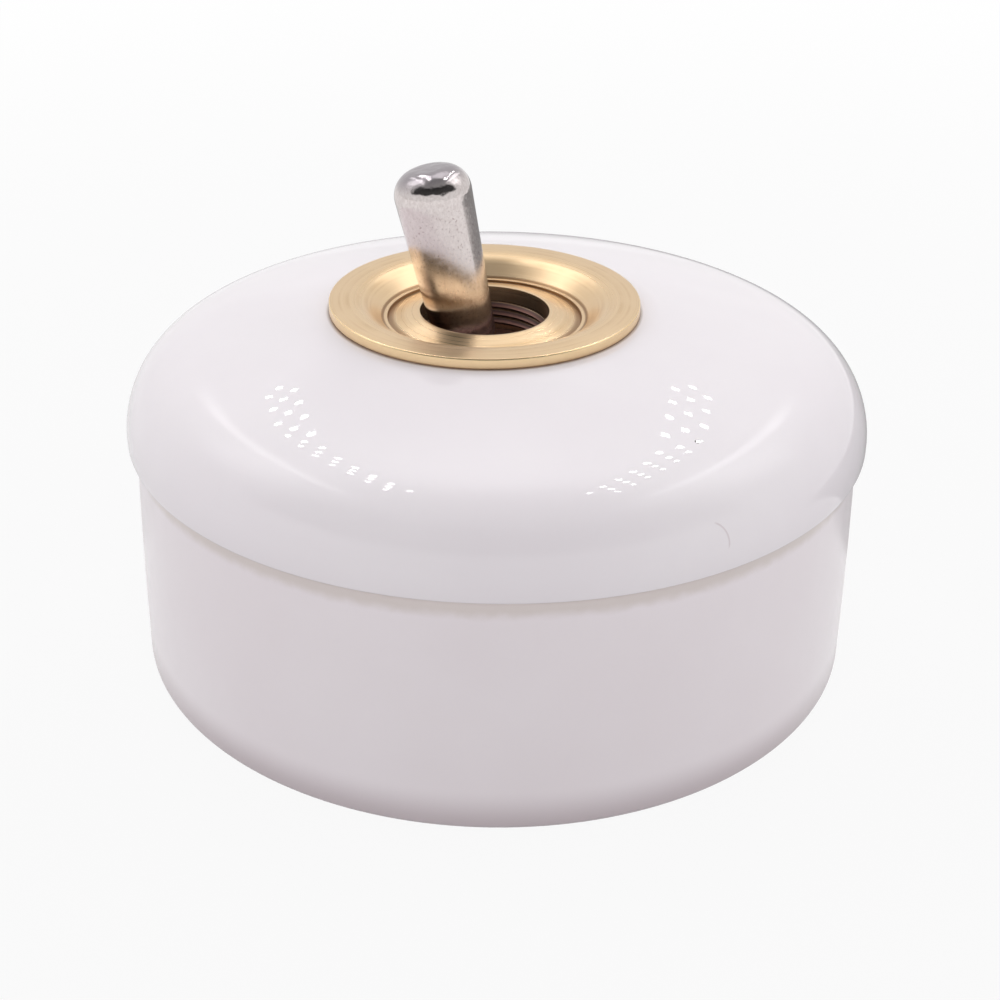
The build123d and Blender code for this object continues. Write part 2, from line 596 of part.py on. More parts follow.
def floor_nuts():
    nut = nut_prism(NUT_FLATS, NUT_POCKET_Z - NUT_T, NUT_POCKET_Z)
    nut -= rod(SCREW_DIA + 2 * FIT, BACK_RECESS, NUT_POCKET_Z)
    return Compound(children=[place * nut for place in floor_screw_places()])


common_place, switched_place = terminal_places()
NODES = {
    "porcelain_base": porcelain_base(),
    "porcelain_cover": porcelain_cover(),
    "ring_nut": ring_nut(),
    "threaded_bush": threaded_bush(),
    "bridge_frame": bridge_frame(),
    "pivot_pin": pivot_pin(),
    "pivot_clip": pivot_clip(),
    "pivot_washers": pivot_washers(),
    "toggle_lever": toggle_lever(),
    "plunger": plunger(),
    "plunger_spring": plunger_spring(),
    "rocker_contact": rocker_contact(),
    "rocker_stud": rocker_stud(),
    "fulcrum_bracket": fulcrum_bracket(),
    "fulcrum_pin": fulcrum_pin(),
    "fixed_strip": fixed_strip(),
    "fixed_stud": fixed_stud(),
    "common_terminal": terminal_block(common_place),
    "switched_terminal": terminal_block(switched_place),
    "clamp_screws": clamp_screws(),
    "terminal_screws": terminal_screws(),
    "floor_screws": floor_screws(),
    "floor_nuts": floor_nuts(),
}

os.makedirs("parts", exist_ok=True)
for name, shape in NODES.items():
    export_step(shape, f"parts/{name}.step")
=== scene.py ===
import json
from math import acos, atan2, cos, pi, radians, sin, sqrt, tan

import bpy
from mathutils import Matrix, Vector


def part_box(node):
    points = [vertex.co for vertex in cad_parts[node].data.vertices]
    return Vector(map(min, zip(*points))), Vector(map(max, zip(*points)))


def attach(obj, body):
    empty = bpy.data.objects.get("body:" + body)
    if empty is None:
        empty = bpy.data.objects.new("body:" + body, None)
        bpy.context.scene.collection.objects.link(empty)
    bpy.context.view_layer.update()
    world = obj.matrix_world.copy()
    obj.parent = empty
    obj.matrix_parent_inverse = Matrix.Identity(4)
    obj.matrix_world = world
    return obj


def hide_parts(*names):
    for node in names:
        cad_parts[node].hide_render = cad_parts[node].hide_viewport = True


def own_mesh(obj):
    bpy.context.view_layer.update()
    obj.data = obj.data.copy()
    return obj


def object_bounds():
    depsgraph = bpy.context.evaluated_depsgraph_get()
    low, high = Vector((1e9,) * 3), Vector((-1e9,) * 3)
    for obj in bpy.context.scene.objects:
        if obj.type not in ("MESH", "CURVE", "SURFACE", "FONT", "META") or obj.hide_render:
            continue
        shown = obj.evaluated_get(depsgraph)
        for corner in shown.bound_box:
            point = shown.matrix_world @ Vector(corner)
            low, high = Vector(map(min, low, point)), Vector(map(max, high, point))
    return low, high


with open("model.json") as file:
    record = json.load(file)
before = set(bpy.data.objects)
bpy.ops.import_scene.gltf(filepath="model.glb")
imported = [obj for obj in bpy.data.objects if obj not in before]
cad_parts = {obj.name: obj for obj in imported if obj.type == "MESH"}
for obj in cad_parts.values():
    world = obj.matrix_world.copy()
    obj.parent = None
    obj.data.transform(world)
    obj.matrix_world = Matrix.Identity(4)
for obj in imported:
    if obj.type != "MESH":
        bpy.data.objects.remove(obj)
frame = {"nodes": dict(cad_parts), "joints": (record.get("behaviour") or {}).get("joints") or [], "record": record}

CAD_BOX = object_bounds()
MM = 0.001
SIDES = (-1, 1)
WHITE = (1.0, 1.0, 1.0, 1.0)

# Places read from the frame; the lever rests at one end of its swing, so it leans by half of it
COVER_LOW, COVER_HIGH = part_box("porcelain_cover")
BASE_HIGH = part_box("porcelain_base")[1]
RING_LOW, RING_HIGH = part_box("ring_nut")
FLOOR_SCREWS_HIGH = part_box("floor_screws")[1]
TERMINAL_SCREWS_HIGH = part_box("terminal_screws")[1]
BUSH_TOP_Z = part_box("threaded_bush")[1].z
GROUND_Z = CAD_BOX[0][2]
BASE_H = COVER_LOW.z
LAND_Z = COVER_HIGH.z
NECK_X = (RING_LOW.x + RING_HIGH.x) / 2
RING_AXIS = Vector((NECK_X, 0, 0))
JOINTS = {joint["name"]: joint for joint in frame["joints"]}
MOUNTS = {mount["name"]: mount for mount in frame["record"]["mounts"]}
LEVER_PIVOT = Vector(JOINTS["lever_swing"]["pos_m"])
LEVER_LEAN = radians(sum(JOINTS["lever_swing"]["range_deg"]) / 2)

# Base, as in the solids
BASE_TOP_R = 34.15 * MM
BASE_FOOT_R = 34.9 * MM
BASE_BULGE = 0.12 * MM
BASE_FOOT_ROUND = 0.5 * MM
BASE_TOP_ROUND = 0.8 * MM
BASE_BORE_R = 28.5 * MM
BASE_FLOOR_Z = 6.0 * MM
BASE_FLOOR_ROUND = 2.0 * MM
BACK_RECESS = 1.5 * MM
BACK_RECESS_R = 27.0 * MM
SPIGOT_R = 31.1 * MM
RIM_ROUND = 0.5 * MM
SCREW_HEAD_R = 2.7 * MM
SCREW_HOLE_R = 1.65 * MM
SCREW_POCKET_R = 2.9 * MM
SCREW_POCKET_TOP = 3.4 * MM
NUT_SIDES = 6
NUT_POCKET_FLATS = 5.9 * MM
NUT_POCKET_R = NUT_POCKET_FLATS / 2 / cos(pi / NUT_SIDES)
NUT_POCKET_TOP = 3.9 * MM
WALL_SINK_R = 4.4 * MM

# Cover, as in the solids
COVER_R = COVER_HIGH.x
COVER_WALL = 3.4 * MM
COVER_LIP_H = 0.4 * MM
COVER_LIP_ROUND = 0.15 * MM
SHOULDER_R = 7.5 * MM
CROWN_R = 114.0 * MM
LAND_R = 15.1 * MM
COVER_HOLE_R = 12.54 * MM

# Cover's outside, eased between crown and shoulder by less than 0.1 mm from the solid
EASED_SHOULDER_R = 7.356 * MM
EASED_SHOULDER_TURN = radians(57.43)
EASE_LENGTH = 4.5 * MM

# Ring nut, as in the solids but for a rounder mouth and softened small edges
RING_R = (RING_HIGH.x - RING_LOW.x) / 2
RING_EDGE = 0.18 * MM
RING_MOUTH_R = 11.4 * MM
RING_MOUTH_ROUND = 3.0 * MM
RING_DISH_R = 9.5 * MM
RING_DISH_DEPTH = 1.8 * MM
RING_LEDGE_R = RING_DISH_R - 0.4 * MM
RING_LEDGE_STEP = 0.25 * MM
RING_COLLAR_RISE = 0.75 * MM
RING_COLLAR_LIP = 0.3 * MM
RING_BORE_R = 6.05 * MM
RING_HUB_R = 11.044 * MM
RING_HUB_H = 2.6 * MM
RING_SLEEVE_R = 7.75 * MM
RING_BURR = 0.07 * MM

# Thread inside the ring nut, which the solids leave out
THREAD_PITCH = 0.8 * MM
THREAD_RIDGE = 0.33 * MM
THREAD_SIDES = 4
THREAD_TURNS = 2.3
THREAD_STEPS = 72
THREAD_CLEAR = 0.25 * MM

# Plunger's coil, as in the solids, with heights along the lever's axis from its pivot
SPRING_WIRE_R = 0.2 * MM
SPRING_COIL_R = 1.4 * MM
SPRING_LOW = -6.327 * MM
SPRING_HIGH = -2.53 * MM
SPRING_SIDES = 12
SPRING_TURNS = 4
SPRING_STEPS = 48

# Fineness of the modelled pieces
TURN_STEPS = 192
ARC_STEPS = 16
CORNER_STEPS = 6
HOLE_SIDES = 48
WELD = 0.001 * MM
SMOOTH_ANGLE = radians(35)

# Effects that several finishes share; a pair says where a mask begins and where it is full
CLOUD_EDGES = (0.3, 0.7)
DENT_EDGES = (0.56, 0.74)
SCRATCH_EDGES = (0.3, 0.7)

# Glazes: scales of the slow tint, the patches of gloss, the rolling surface and the pinholes
GLAZE_IOR = 1.5
GLAZE_TINT = 60.0
GLAZE_PATCHES = 240.0
GLAZE_PATCH_DULL = 1.15
GLAZE_ROLL = 90.0
GLAZE_ROLL_DEPTH = 1.0 * MM
PINHOLE_CELLS = 260.0
PINHOLE_SIZE = 0.07
PINHOLE_DARK = (0.30, 0.25, 0.22)

# Cover's glaze, with painted shade in a thin line round the ring nut, one dark speck and one curved hairline
COVER_LIGHT = (0.87, 0.825, 0.855)
COVER_SHADE = (0.85, 0.80, 0.835)
COVER_ROUGH = 0.02
COVER_PINHOLES = 0.004
COVER_RIPPLE = 0.003
# painted shade: a thin dark line on the glaze round the ring nut, where the nut's contact shadow falls
RING_EDGE_PAINTED_SHADE = (0.36, 0.27, 0.23)
RING_EDGE_FADE = (RING_R + 0.35 * MM, RING_R - 0.05 * MM)
SPECK_DARK = (0.12, 0.11, 0.10)
SPECK_PLACE = Vector((16.41, -22.55, 30.64)) * MM
SPECK_R = 0.28 * MM
SPECK_CORE = 0.6
HAIRLINE_TINT = (0.74, 0.67, 0.70)
HAIRLINE_MIDDLE = Vector((18.4, -29.04, 25.93)) * MM
HAIRLINE_CENTRE = Vector((16.85, -29.89, 25.09)) * MM
HAIRLINE_BEND = 1.95 * MM
HAIRLINE_HALF = 1.5 * MM
HAIRLINE_FULL = 0.7
HAIRLINE_W = 0.11 * MM
HAIRLINE_CORE = 0.3

# Base's glaze, with warm dust and painted shade under the cover's lip, and painted shade darkening towards the
# foot
BASE_LIGHT = (0.88, 0.82, 0.85)
BASE_SHADE = (0.86, 0.795, 0.825)
BASE_ROUGH = 0.22
BASE_PINHOLES = 0.012
BASE_RIPPLE = 0.002
# dust and painted shade: a warm darker band under the cover's lip, where the lip's shadow falls
DUST_AND_SHADE_TINT = (0.72, 0.65, 0.63)
DUST_AND_SHADE_GRAIN = 700.0
DUST_AND_SHADE_RAGGED = 0.7 * MM
DUST_AND_SHADE_FADE = (BASE_H - 1.8 * MM, BASE_H - 0.7 * MM)
# painted shade: the glaze darkens towards the foot, as contact shading near the floor
FOOT_PAINTED_SHADE = (0.58, 0.505, 0.53)
FOOT_PAINTED_SHADE_H = 4.2 * MM

# Turned brass: lathe marks, painted shade in the groove and the bore, a painted highlight along the rim's edge
BRASS_LIGHT = (0.83, 0.615, 0.385)
BRASS_DARK = (0.74, 0.52, 0.30)
BRASS_ROUGH = 0.27
BRASS_DULL = 1.3
BRASS_GRAIN = 0.6
BRASS_GRAIN_TURN = 0.25
BRASS_TARNISH = 300.0
FINE_RINGS = 7000.0
FINE_EDGES = (0.25, 0.75)
COARSE_RINGS = 1800.0
COARSE_EDGES = (0.35, 0.75)
RING_MARK = 0.12
RING_MARK_DEPTH = 0.02 * MM
# painted highlight: the rim's outer edge is brighter brass, standing in for a reflection
RIM_PAINTED_HIGHLIGHT = (0.93, 0.70, 0.42)
RIM_HIGHLIGHT_FADE = (RING_R - 0.15 * MM, RING_R - 0.02 * MM)
# painted shade: dark in the groove below the ledge and in a line along the dish's foot
GROOVE_PAINTED_SHADE = (0.36, 0.22, 0.12)
GROOVE_INNER_FADE = (RING_LEDGE_R - 0.9 * MM, RING_LEDGE_R - 0.3 * MM)
GROOVE_OUTER_FADE = (RING_LEDGE_R + 0.05 * MM, RING_LEDGE_R - 0.02 * MM)
FOOT_LINE_R = RING_DISH_R + 0.05 * MM
FOOT_LINE_FADE = (0.2 * MM, 0.05 * MM)
# painted shade: the bore is dark brown inside the hole
BORE_PAINTED_SHADE = (0.11, 0.07, 0.065)
BORE_ROUGH = 0.45
BORE_FADE = (RING_BORE_R + RING_BURR, RING_BORE_R - RING_BURR)
# painted shade on the thread's crests, less dark than the bore's, as a faint painted highlight
CREST_PAINTED_SHADE = (0.24, 0.13, 0.11)
CREST_FADE = (RING_BORE_R - 0.3 * THREAD_RIDGE, RING_BORE_R - THREAD_RIDGE)

# Worn nickel of the lever, with the length and the tip's rounding as in the solids
LEVER_REACH = 25.15 * MM
LEVER_TIP_ROUND = 2.3 * MM
NICKEL_LIGHT = (0.76, 0.70, 0.685)
NICKEL_DULL = (0.66, 0.59, 0.575)
NICKEL_PIT = (0.40, 0.31, 0.30)
NICKEL_ROUGH = (0.13, 0.21)
NICKEL_GRAIN = 4200.0
NICKEL_STRETCH = 0.6
NICKEL_MARK = 0.08
NICKEL_MARK_DEPTH = 0.03 * MM
TIP_FADE = (LEVER_REACH - 2.0 * LEVER_TIP_ROUND, LEVER_REACH - 0.8 * LEVER_TIP_ROUND)
TIP_PITS = 0.2
TIP_GLOSS = 0.6
# painted reflection: the top of the tip is darker purple-grey, standing in for the dark surroundings it mirrors
TIP_PAINTED_REFLECTION = (0.40, 0.365, 0.385)
TIP_REFLECTION_FADE = (LEVER_REACH - 1.6 * MM, LEVER_REACH - 0.2 * MM)
KNOCK_GRAIN = 800.0
KNOCK = 0.6
KNOCK_DEPTH = 0.12 * MM

# Metal inside the switch
METAL_GRAIN = 900.0
METAL_STRETCH = 0.4
METAL_TARNISH = 250.0
METAL_DULL = 1.6
METAL_MARK = 0.2
METAL_MARK_DEPTH = 0.03 * MM

# Camera, as fitted to the photo's outline
LENS = 55.58
CLIP_START = 5 * MM
CAMERA_PITCH = radians(29.02)
CAMERA_ROLL = radians(0.834)
CAMERA_DISTANCE = 149.798 * MM
CAMERA_AIM = Vector((0.272, 0, -8.38)) * MM
AIM_HEIGHT = 22.0 * MM

# Floor and surroundings
FLOOR_HALF = 1.5
FLOOR_MATT = (0.45, 0.44, 0.45, 1.0)
FLOOR_WHITE = 0.92
FLOOR_NEAR = 0.06
FLOOR_FAR = 0.4
WORLD_LIGHT = 0.15

# Light tent: a dark band at the front, a dim top, a glow at the back, a patch and a streak on each side
TENT_R = 0.85
TENT_SEGMENTS = 64
TENT_RINGS = 32
TENT_GREY = 0.84
OPENING_GREY = 0.05
OPENING_Z = 0.54
OPENING_BAND = (0.29 * TENT_R, 0.13 * TENT_R)
OPENING_FRONT = -0.32 * TENT_R
TOP_DIM = 0.42
TOP_PLACE = Vector((0, -0.2, 0.82))
TOP_FADE = (0.3 * TENT_R, 0.65 * TENT_R)
BACK_GLOW = 0.7
BACK_GLOW_PLACE = Vector((0, 0.37, 0.77))
BACK_GLOW_FADE = (0.35 * TENT_R, 0.08 * TENT_R)
PATCH_GLOW = 1.1
PATCH_PLACE = Vector((0.62, 0.25, 0.74)) * TENT_R
PATCH_FADE = (0.36 * TENT_R, 0.06 * TENT_R)
STREAK_GLOW = 1.3
STREAK_NEAR = Vector((0.208, 0.05, 0.39))
STREAK_FAR = Vector((0.328, 0.49, 0.39))
STREAK_HALF = 0.06 * TENT_R
STREAK_RISE = (0.48 * TENT_R, 0.62 * TENT_R)
STREAK_END = Vector((0, -0.82, 0.22))
STREAK_END_FADE = (1.1 * TENT_R, 1.3 * TENT_R)

# Grey sheet that the ring and the cover reflect
MAT_GREY = 0.3
MAT_SIZE = (1.0, 0.6, 1.0)
MAT_PLACE = (0, 0.31, GROUND_Z + 0.2 * MM)
MAT_MIDDLE = (0.13, 0.14, 0.0)
MAT_FADE = (0.10, 0.25)

# Lamps; places of pairs are those of the right one
LAMP_AIM = (0, 0, 0.02)
LAMP_HEIGHT = 0.42
STRIP_PLACE = Vector((0.15, 0.28, LAMP_HEIGHT))
STRIP_SIZE = (0.1, 0.45)
STRIP_POWER = 0.4
WALL_PLACE = Vector((0.45, 0.10, 0.22))
WALL_SIZE = (0.4, 0.4)
WALL_POWER = 1.2
FRONT_PLACE = (0, -0.5, 0.28)
FRONT_SIZE = (0.5, 0.3)
FRONT_POWER = 1.6
BACK_PLACE = (0, 0.5, 0.35)
BACK_SIZE = (0.6, 0.4)
BACK_POWER = 1.4

# Small lamps that only reflections show, set for each side
LED_SIZE = (0.007, 0.007)
LED_ROWS = 10
LED_COLUMNS = 3
LED_PITCH = 0.047
LED_FRONT = 0.056
LED_POWER = 0.006
LED_SPACING = {-1: 0.0135, 1: 0.0175}
LED_INSET = {-1: 0.103, 1: 0.122}
LED_SPREAD = {-1: 0.275, 1: 0.188}


def only(*objects):
    """Select these objects alone, the last one active."""
    bpy.ops.object.select_all(action="DESELECT")
    for obj in objects:
        obj.select_set(True)
        bpy.context.view_layer.objects.active = obj


def settle(obj):
    """Move the object's place and turn into its mesh."""
    only(obj)
    bpy.ops.object.transform_apply(location=True, rotation=True, scale=True)


def on_side(place, side):
    """The place on the left (-1) or on the right (1)."""
    return Vector((side * place.x, place.y, place.z))


# Node helpers
def link(tree, source, target):
    tree.links.new(source, target)


def add_node(tree, kind, **settings):
    made = tree.nodes.new(kind)
    for name, value in settings.items():
        setattr(made, name, value)
    return made


def fill(tree, socket, value):
    """Give a socket a link or a plain value."""
    if isinstance(value, bpy.types.NodeSocket):
        link(tree, value, socket)
    else:
        socket.default_value = value


def feed(tree, made, **values):
    """Fill a node's inputs by name."""
    for name, value in values.items():
        fill(tree, made.inputs[name.replace("_", " ")], value)
    return made


def noise(tree, vector, scale, detail=4.0, roughness=0.5):
    made = add_node(tree, "ShaderNodeTexNoise")
    feed(tree, made, Vector=vector, Scale=scale, Detail=detail, Roughness=roughness)
    return made.outputs["Fac"]


def ramp(tree, value, low, high, out_low=0.0, out_high=1.0):
    made = add_node(tree, "ShaderNodeMapRange", interpolation_type="SMOOTHSTEP")
    feed(tree, made, Value=value, From_Min=low, From_Max=high, To_Min=out_low, To_Max=out_high)
    return made.outputs["Result"]


def math_node(tree, operation, first, second=0.0):
    made = add_node(tree, "ShaderNodeMath", operation=operation)
    fill(tree, made.inputs[0], first)
    fill(tree, made.inputs[1], second)
    return made.outputs[0]


def blend_colour(tree, factor, first, second):
    made = add_node(tree, "ShaderNodeMix", data_type="RGBA")
    link(tree, factor, made.inputs["Factor"])
    for socket, colour in zip((made.inputs[6], made.inputs[7]), (first, second)):
        fill(tree, socket, (*colour, 1.0) if isinstance(colour, tuple) else colour)
    return made.outputs[2]


def bump(tree, height, strength, distance, under=None):
    made = add_node(tree, "ShaderNodeBump")
    feed(tree, made, Height=height, Strength=strength, Distance=distance)
    if under:
        link(tree, under, made.inputs["Normal"])
    return made.outputs["Normal"]


def split(tree, vector):
    parts = add_node(tree, "ShaderNodeSeparateXYZ")
    link(tree, vector, parts.inputs["Vector"])
    return parts.outputs


def height_of(tree, vector):
    return split(tree, vector)["Z"]


def radius_of(tree, vector):
    """Distance from the vector's Z axis."""
    flat = add_node(tree, "ShaderNodeVectorMath", operation="MULTIPLY")
    link(tree, vector, flat.inputs[0])
    flat.inputs[1].default_value = (1.0, 1.0, 0.0)
    length = add_node(tree, "ShaderNodeVectorMath", operation="LENGTH")
    link(tree, flat.outputs["Vector"], length.inputs[0])
    return length.outputs["Value"]


def measure(tree, operation, vector, other):
    """Number that a vector operation gives for a vector and a fixed one."""
    made = add_node(tree, "ShaderNodeVectorMath", operation=operation)
    link(tree, vector, made.inputs[0])
    made.inputs[1].default_value = other
    return made.outputs["Value"]


def distance_from(tree, vector, place):
    return measure(tree, "DISTANCE", vector, place)


def placed(tree, vector, location=(0, 0, 0), rotation=(0, 0, 0)):
    """The vector seen from a frame at that place and turn."""
    made = add_node(tree, "ShaderNodeMapping", vector_type="TEXTURE")
    feed(tree, made, Vector=vector, Location=location, Rotation=rotation)
    return made.outputs["Vector"]


def object_place(tree):
    return add_node(tree, "ShaderNodeTexCoord").outputs["Object"]


def new_group(name, inputs, outputs):
    """Empty shader group with float inputs and outputs, plus a vector input that comes first."""
    tree = bpy.data.node_groups.new(name, "ShaderNodeTree")
    tree.interface.new_socket("Vector", in_out="INPUT", socket_type="NodeSocketVector")
    for label in inputs:
        tree.interface.new_socket(label, in_out="INPUT", socket_type="NodeSocketFloat")
    for label in outputs:
        tree.interface.new_socket(label, in_out="OUTPUT", socket_type="NodeSocketFloat")
    entry = tree.nodes.new("NodeGroupInput")
    end = tree.nodes.new("NodeGroupOutput")
    return tree, entry.outputs, end.inputs


def use_group(tree, group, vector, **values):
    made = add_node(tree, "ShaderNodeGroup", node_tree=group)
    link(tree, vector, made.inputs["Vector"])
    feed(tree, made, **values)
    return made.outputs


# Effects that several finishes share
def make_cloudiness():
    """Slow change of tone over a surface."""
    tree, given, out = new_group("cloudiness", ("Scale",), ("Mask",))
    slow = noise(tree, given["Vector"], given["Scale"], detail=3.0)
    link(tree, ramp(tree, slow, *CLOUD_EDGES), out["Mask"])
    return tree


def make_pinholes():
    """Sparse round specks, one in a few cells of a scattered grid."""
    tree, given, out = new_group("pinholes", ("Scale", "Size", "Share"), ("Mask",))
    cells = add_node(tree, "ShaderNodeTexVoronoi", feature="F1")
    feed(tree, cells, Vector=given["Vector"], Scale=given["Scale"])
    chance = add_node(tree, "ShaderNodeSeparateColor")
    link(tree, cells.outputs["Color"], chance.inputs["Color"])
    chosen = math_node(tree, "LESS_THAN", chance.outputs["Red"], given["Share"])
    radius = math_node(tree, "MULTIPLY", chance.outputs["Green"], given["Size"])
    inside = math_node(tree, "LESS_THAN", cells.outputs["Distance"], radius)
    link(tree, math_node(tree, "MULTIPLY", chosen, inside), out["Mask"])
    return tree


def make_lathe_marks():
    """Rings about the vector's Z axis that change at random along the radius and the height."""
    tree, given, out = new_group("lathe_marks", ("Fine", "Coarse"), ("Fine", "Coarse"))
    along = math_node(tree, "ADD", radius_of(tree, given["Vector"]), height_of(tree, given["Vector"]))
    for label in ("Fine", "Coarse"):
        rings = add_node(tree, "ShaderNodeTexNoise", noise_dimensions="1D")
        feed(tree, rings, W=along, Scale=given[label], Detail=2.0)
        link(tree, rings.outputs["Fac"], out[label])
    return tree


def make_handling_wear():
    """Fine scratches drawn out along Z and small dents."""
    tree, given, out = new_group("handling_wear", ("Scale", "Stretch"), ("Scratches", "Dents"))
    squeeze = add_node(tree, "ShaderNodeCombineXYZ")
    feed(tree, squeeze, X=1.0, Y=1.0, Z=given["Stretch"])
    drawn = add_node(tree, "ShaderNodeVectorMath", operation="MULTIPLY")
    link(tree, given["Vector"], drawn.inputs[0])
    link(tree, squeeze.outputs["Vector"], drawn.inputs[1])
    lines = noise(tree, drawn.outputs["Vector"], given["Scale"], detail=6.0, roughness=0.65)
    dents = noise(tree, given["Vector"], given["Scale"], detail=3.0, roughness=0.6)
    link(tree, lines, out["Scratches"])
    link(tree, ramp(tree, dents, *DENT_EDGES), out["Dents"])
    return tree


CLOUDINESS = make_cloudiness()
PINHOLES = make_pinholes()
LATHE_MARKS = make_lathe_marks()
HANDLING_WEAR = make_handling_wear()


# Finishes
def new_material(name, **constants):
    """Material with a Principled shader; the constants go straight onto its sockets."""
    material = bpy.data.materials.new(name)
    material.use_nodes = True
    tree = material.node_tree
    shader = tree.nodes["Principled BSDF"]
    feed(tree, shader, **constants)
    return material, tree, shader, object_place(tree)


def glaze(name, light, shade, rough, pinholes, ripple):
    """Glazed porcelain: slow tint, rare dark pinholes and a slightly rolling surface."""
    material, tree, shader, place = new_material(name, IOR=GLAZE_IOR)
    tint = use_group(tree, CLOUDINESS, place, Scale=GLAZE_TINT)["Mask"]
    body = blend_colour(tree, tint, light, shade)
    holes = use_group(tree, PINHOLES, place, Scale=PINHOLE_CELLS, Size=PINHOLE_SIZE, Share=pinholes)
    patchy = use_group(tree, CLOUDINESS, place, Scale=GLAZE_PATCHES)["Mask"]
    link(tree, ramp(tree, patchy, 0.0, 1.0, rough, rough * GLAZE_PATCH_DULL), shader.inputs["Roughness"])
    rolling = noise(tree, place, GLAZE_ROLL, detail=0.0)
    link(tree, bump(tree, rolling, ripple, GLAZE_ROLL_DEPTH), shader.inputs["Normal"])
    return material, tree, shader, place, blend_colour(tree, holes["Mask"], body, PINHOLE_DARK)


def cover_glaze():
    """Glossy glaze with a thin line of painted shade round the ring nut, a speck and a hairline."""
    material, tree, shader, place, body = glaze(
        "cover_glaze", COVER_LIGHT, COVER_SHADE, COVER_ROUGH, COVER_PINHOLES, COVER_RIPPLE)
    # painted shade in a thin dark line round the ring nut
    ring_shade = ramp(tree, radius_of(tree, placed(tree, place, RING_AXIS)), *RING_EDGE_FADE)
    painted_shade_colour = blend_colour(tree, ring_shade, body, RING_EDGE_PAINTED_SHADE)
    speck = ramp(tree, distance_from(tree, place, SPECK_PLACE), SPECK_R, SPECK_CORE * SPECK_R)
    specked = blend_colour(tree, speck, painted_shade_colour, SPECK_DARK)
    lined = blend_colour(tree, hairline(tree, place), specked, HAIRLINE_TINT)
    link(tree, lined, shader.inputs["Base Color"])
    return material


def hairline(tree, place):
    """Mask of one short curved line in the glaze of the shoulder."""
    off_line = math_node(tree, "SUBTRACT", distance_from(tree, place, HAIRLINE_CENTRE), HAIRLINE_BEND)
    line = ramp(tree, math_node(tree, "ABSOLUTE", off_line), HAIRLINE_W, HAIRLINE_CORE * HAIRLINE_W)
    off_middle = distance_from(tree, place, HAIRLINE_MIDDLE)
    near = ramp(tree, off_middle, HAIRLINE_HALF, HAIRLINE_FULL * HAIRLINE_HALF)
    return math_node(tree, "MULTIPLY", line, near)


def base_glaze():
    """Satin glaze with warm dust and painted shade under the cover's lip, and painted shade darkening towards the
    foot.
    """
    material, tree, shader, place, body = glaze(
        "base_glaze", BASE_LIGHT, BASE_SHADE, BASE_ROUGH, BASE_PINHOLES, BASE_RIPPLE)
    height = height_of(tree, place)
    # warm dust and painted shade in a ragged band under the cover's lip
    uneven = math_node(tree, "MULTIPLY", noise(tree, place, DUST_AND_SHADE_GRAIN), DUST_AND_SHADE_RAGGED)
    dust_and_shade = ramp(tree, math_node(tree, "ADD", height, uneven), *DUST_AND_SHADE_FADE)
    dusty_and_shaded = blend_colour(tree, dust_and_shade, body, DUST_AND_SHADE_TINT)
    # painted shade, darker towards the foot
    foot_shade = ramp(tree, height, FOOT_PAINTED_SHADE_H, 0.0)
    link(tree, blend_colour(tree, foot_shade, dusty_and_shaded, FOOT_PAINTED_SHADE), shader.inputs["Base Color"])
    return material


def groove_painted_shade(tree, radius):
    """Mask of painted shade in the ring's groove and along the foot of its dish."""
    inner = ramp(tree, radius, *GROOVE_INNER_FADE)
    outer = ramp(tree, radius, *GROOVE_OUTER_FADE)
    off_foot = math_node(tree, "ABSOLUTE", math_node(tree, "SUBTRACT", radius, FOOT_LINE_R))
    foot_line = ramp(tree, off_foot, *FOOT_LINE_FADE)
    return math_node(tree, "MAXIMUM", math_node(tree, "MULTIPLY", inner, outer), foot_line)


def brass_colour(tree, place, radius, coarse):
    """Turned colour with painted shade in the groove, a painted highlight on the rim's edge and a bore painted
    dark as shade; also the bore's mask.
    """
    tarnish = use_group(tree, CLOUDINESS, place, Scale=BRASS_TARNISH)["Mask"]
    rings = math_node(tree, "MULTIPLY", ramp(tree, coarse, *COARSE_EDGES), tarnish)
    turned = blend_colour(tree, rings, BRASS_LIGHT, BRASS_DARK)
    # painted shade in the groove and along the dish's foot
    painted_shade_colour = blend_colour(tree, groove_painted_shade(tree, radius), turned, GROOVE_PAINTED_SHADE)
    # painted highlight along the rim's outer edge
    rim_highlighted = blend_colour(tree, ramp(tree, radius, *RIM_HIGHLIGHT_FADE), painted_shade_colour, RIM_PAINTED_HIGHLIGHT)
    # painted shade in the bore, less dark on the thread's crests
    bore_shade = blend_colour(tree, ramp(tree, radius, *CREST_FADE), BORE_PAINTED_SHADE, CREST_PAINTED_SHADE)
    in_bore = ramp(tree, radius, *BORE_FADE)
    return blend_colour(tree, in_bore, rim_highlighted, bore_shade), in_bore


def turned_brass():
    """Lathe-turned brass with fine rings about the neck's axis, painted dark as shade and dull down in the
    threaded bore.
    """
    material, tree, shader, place = new_material(
        "turned_brass", Metallic=1.0, Anisotropic=BRASS_GRAIN, Anisotropic_Rotation=BRASS_GRAIN_TURN)
    centred = placed(tree, place, RING_AXIS)
    marks = use_group(tree, LATHE_MARKS, centred, Fine=FINE_RINGS, Coarse=COARSE_RINGS)
    colour, in_bore = brass_colour(tree, place, radius_of(tree, centred), marks["Coarse"])
    link(tree, colour, shader.inputs["Base Color"])
    satin = ramp(tree, marks["Fine"], *FINE_EDGES, BRASS_ROUGH, BRASS_ROUGH * BRASS_DULL)
    dull = math_node(tree, "MULTIPLY", in_bore, BORE_ROUGH)
    link(tree, math_node(tree, "MAXIMUM", satin, dull), shader.inputs["Roughness"])
    link(tree, bump(tree, marks["Fine"], RING_MARK, RING_MARK_DEPTH), shader.inputs["Normal"])
    round_way = add_node(tree, "ShaderNodeTangent", direction_type="RADIAL", axis="Z")
    link(tree, round_way.outputs["Tangent"], shader.inputs["Tangent"])
    return material


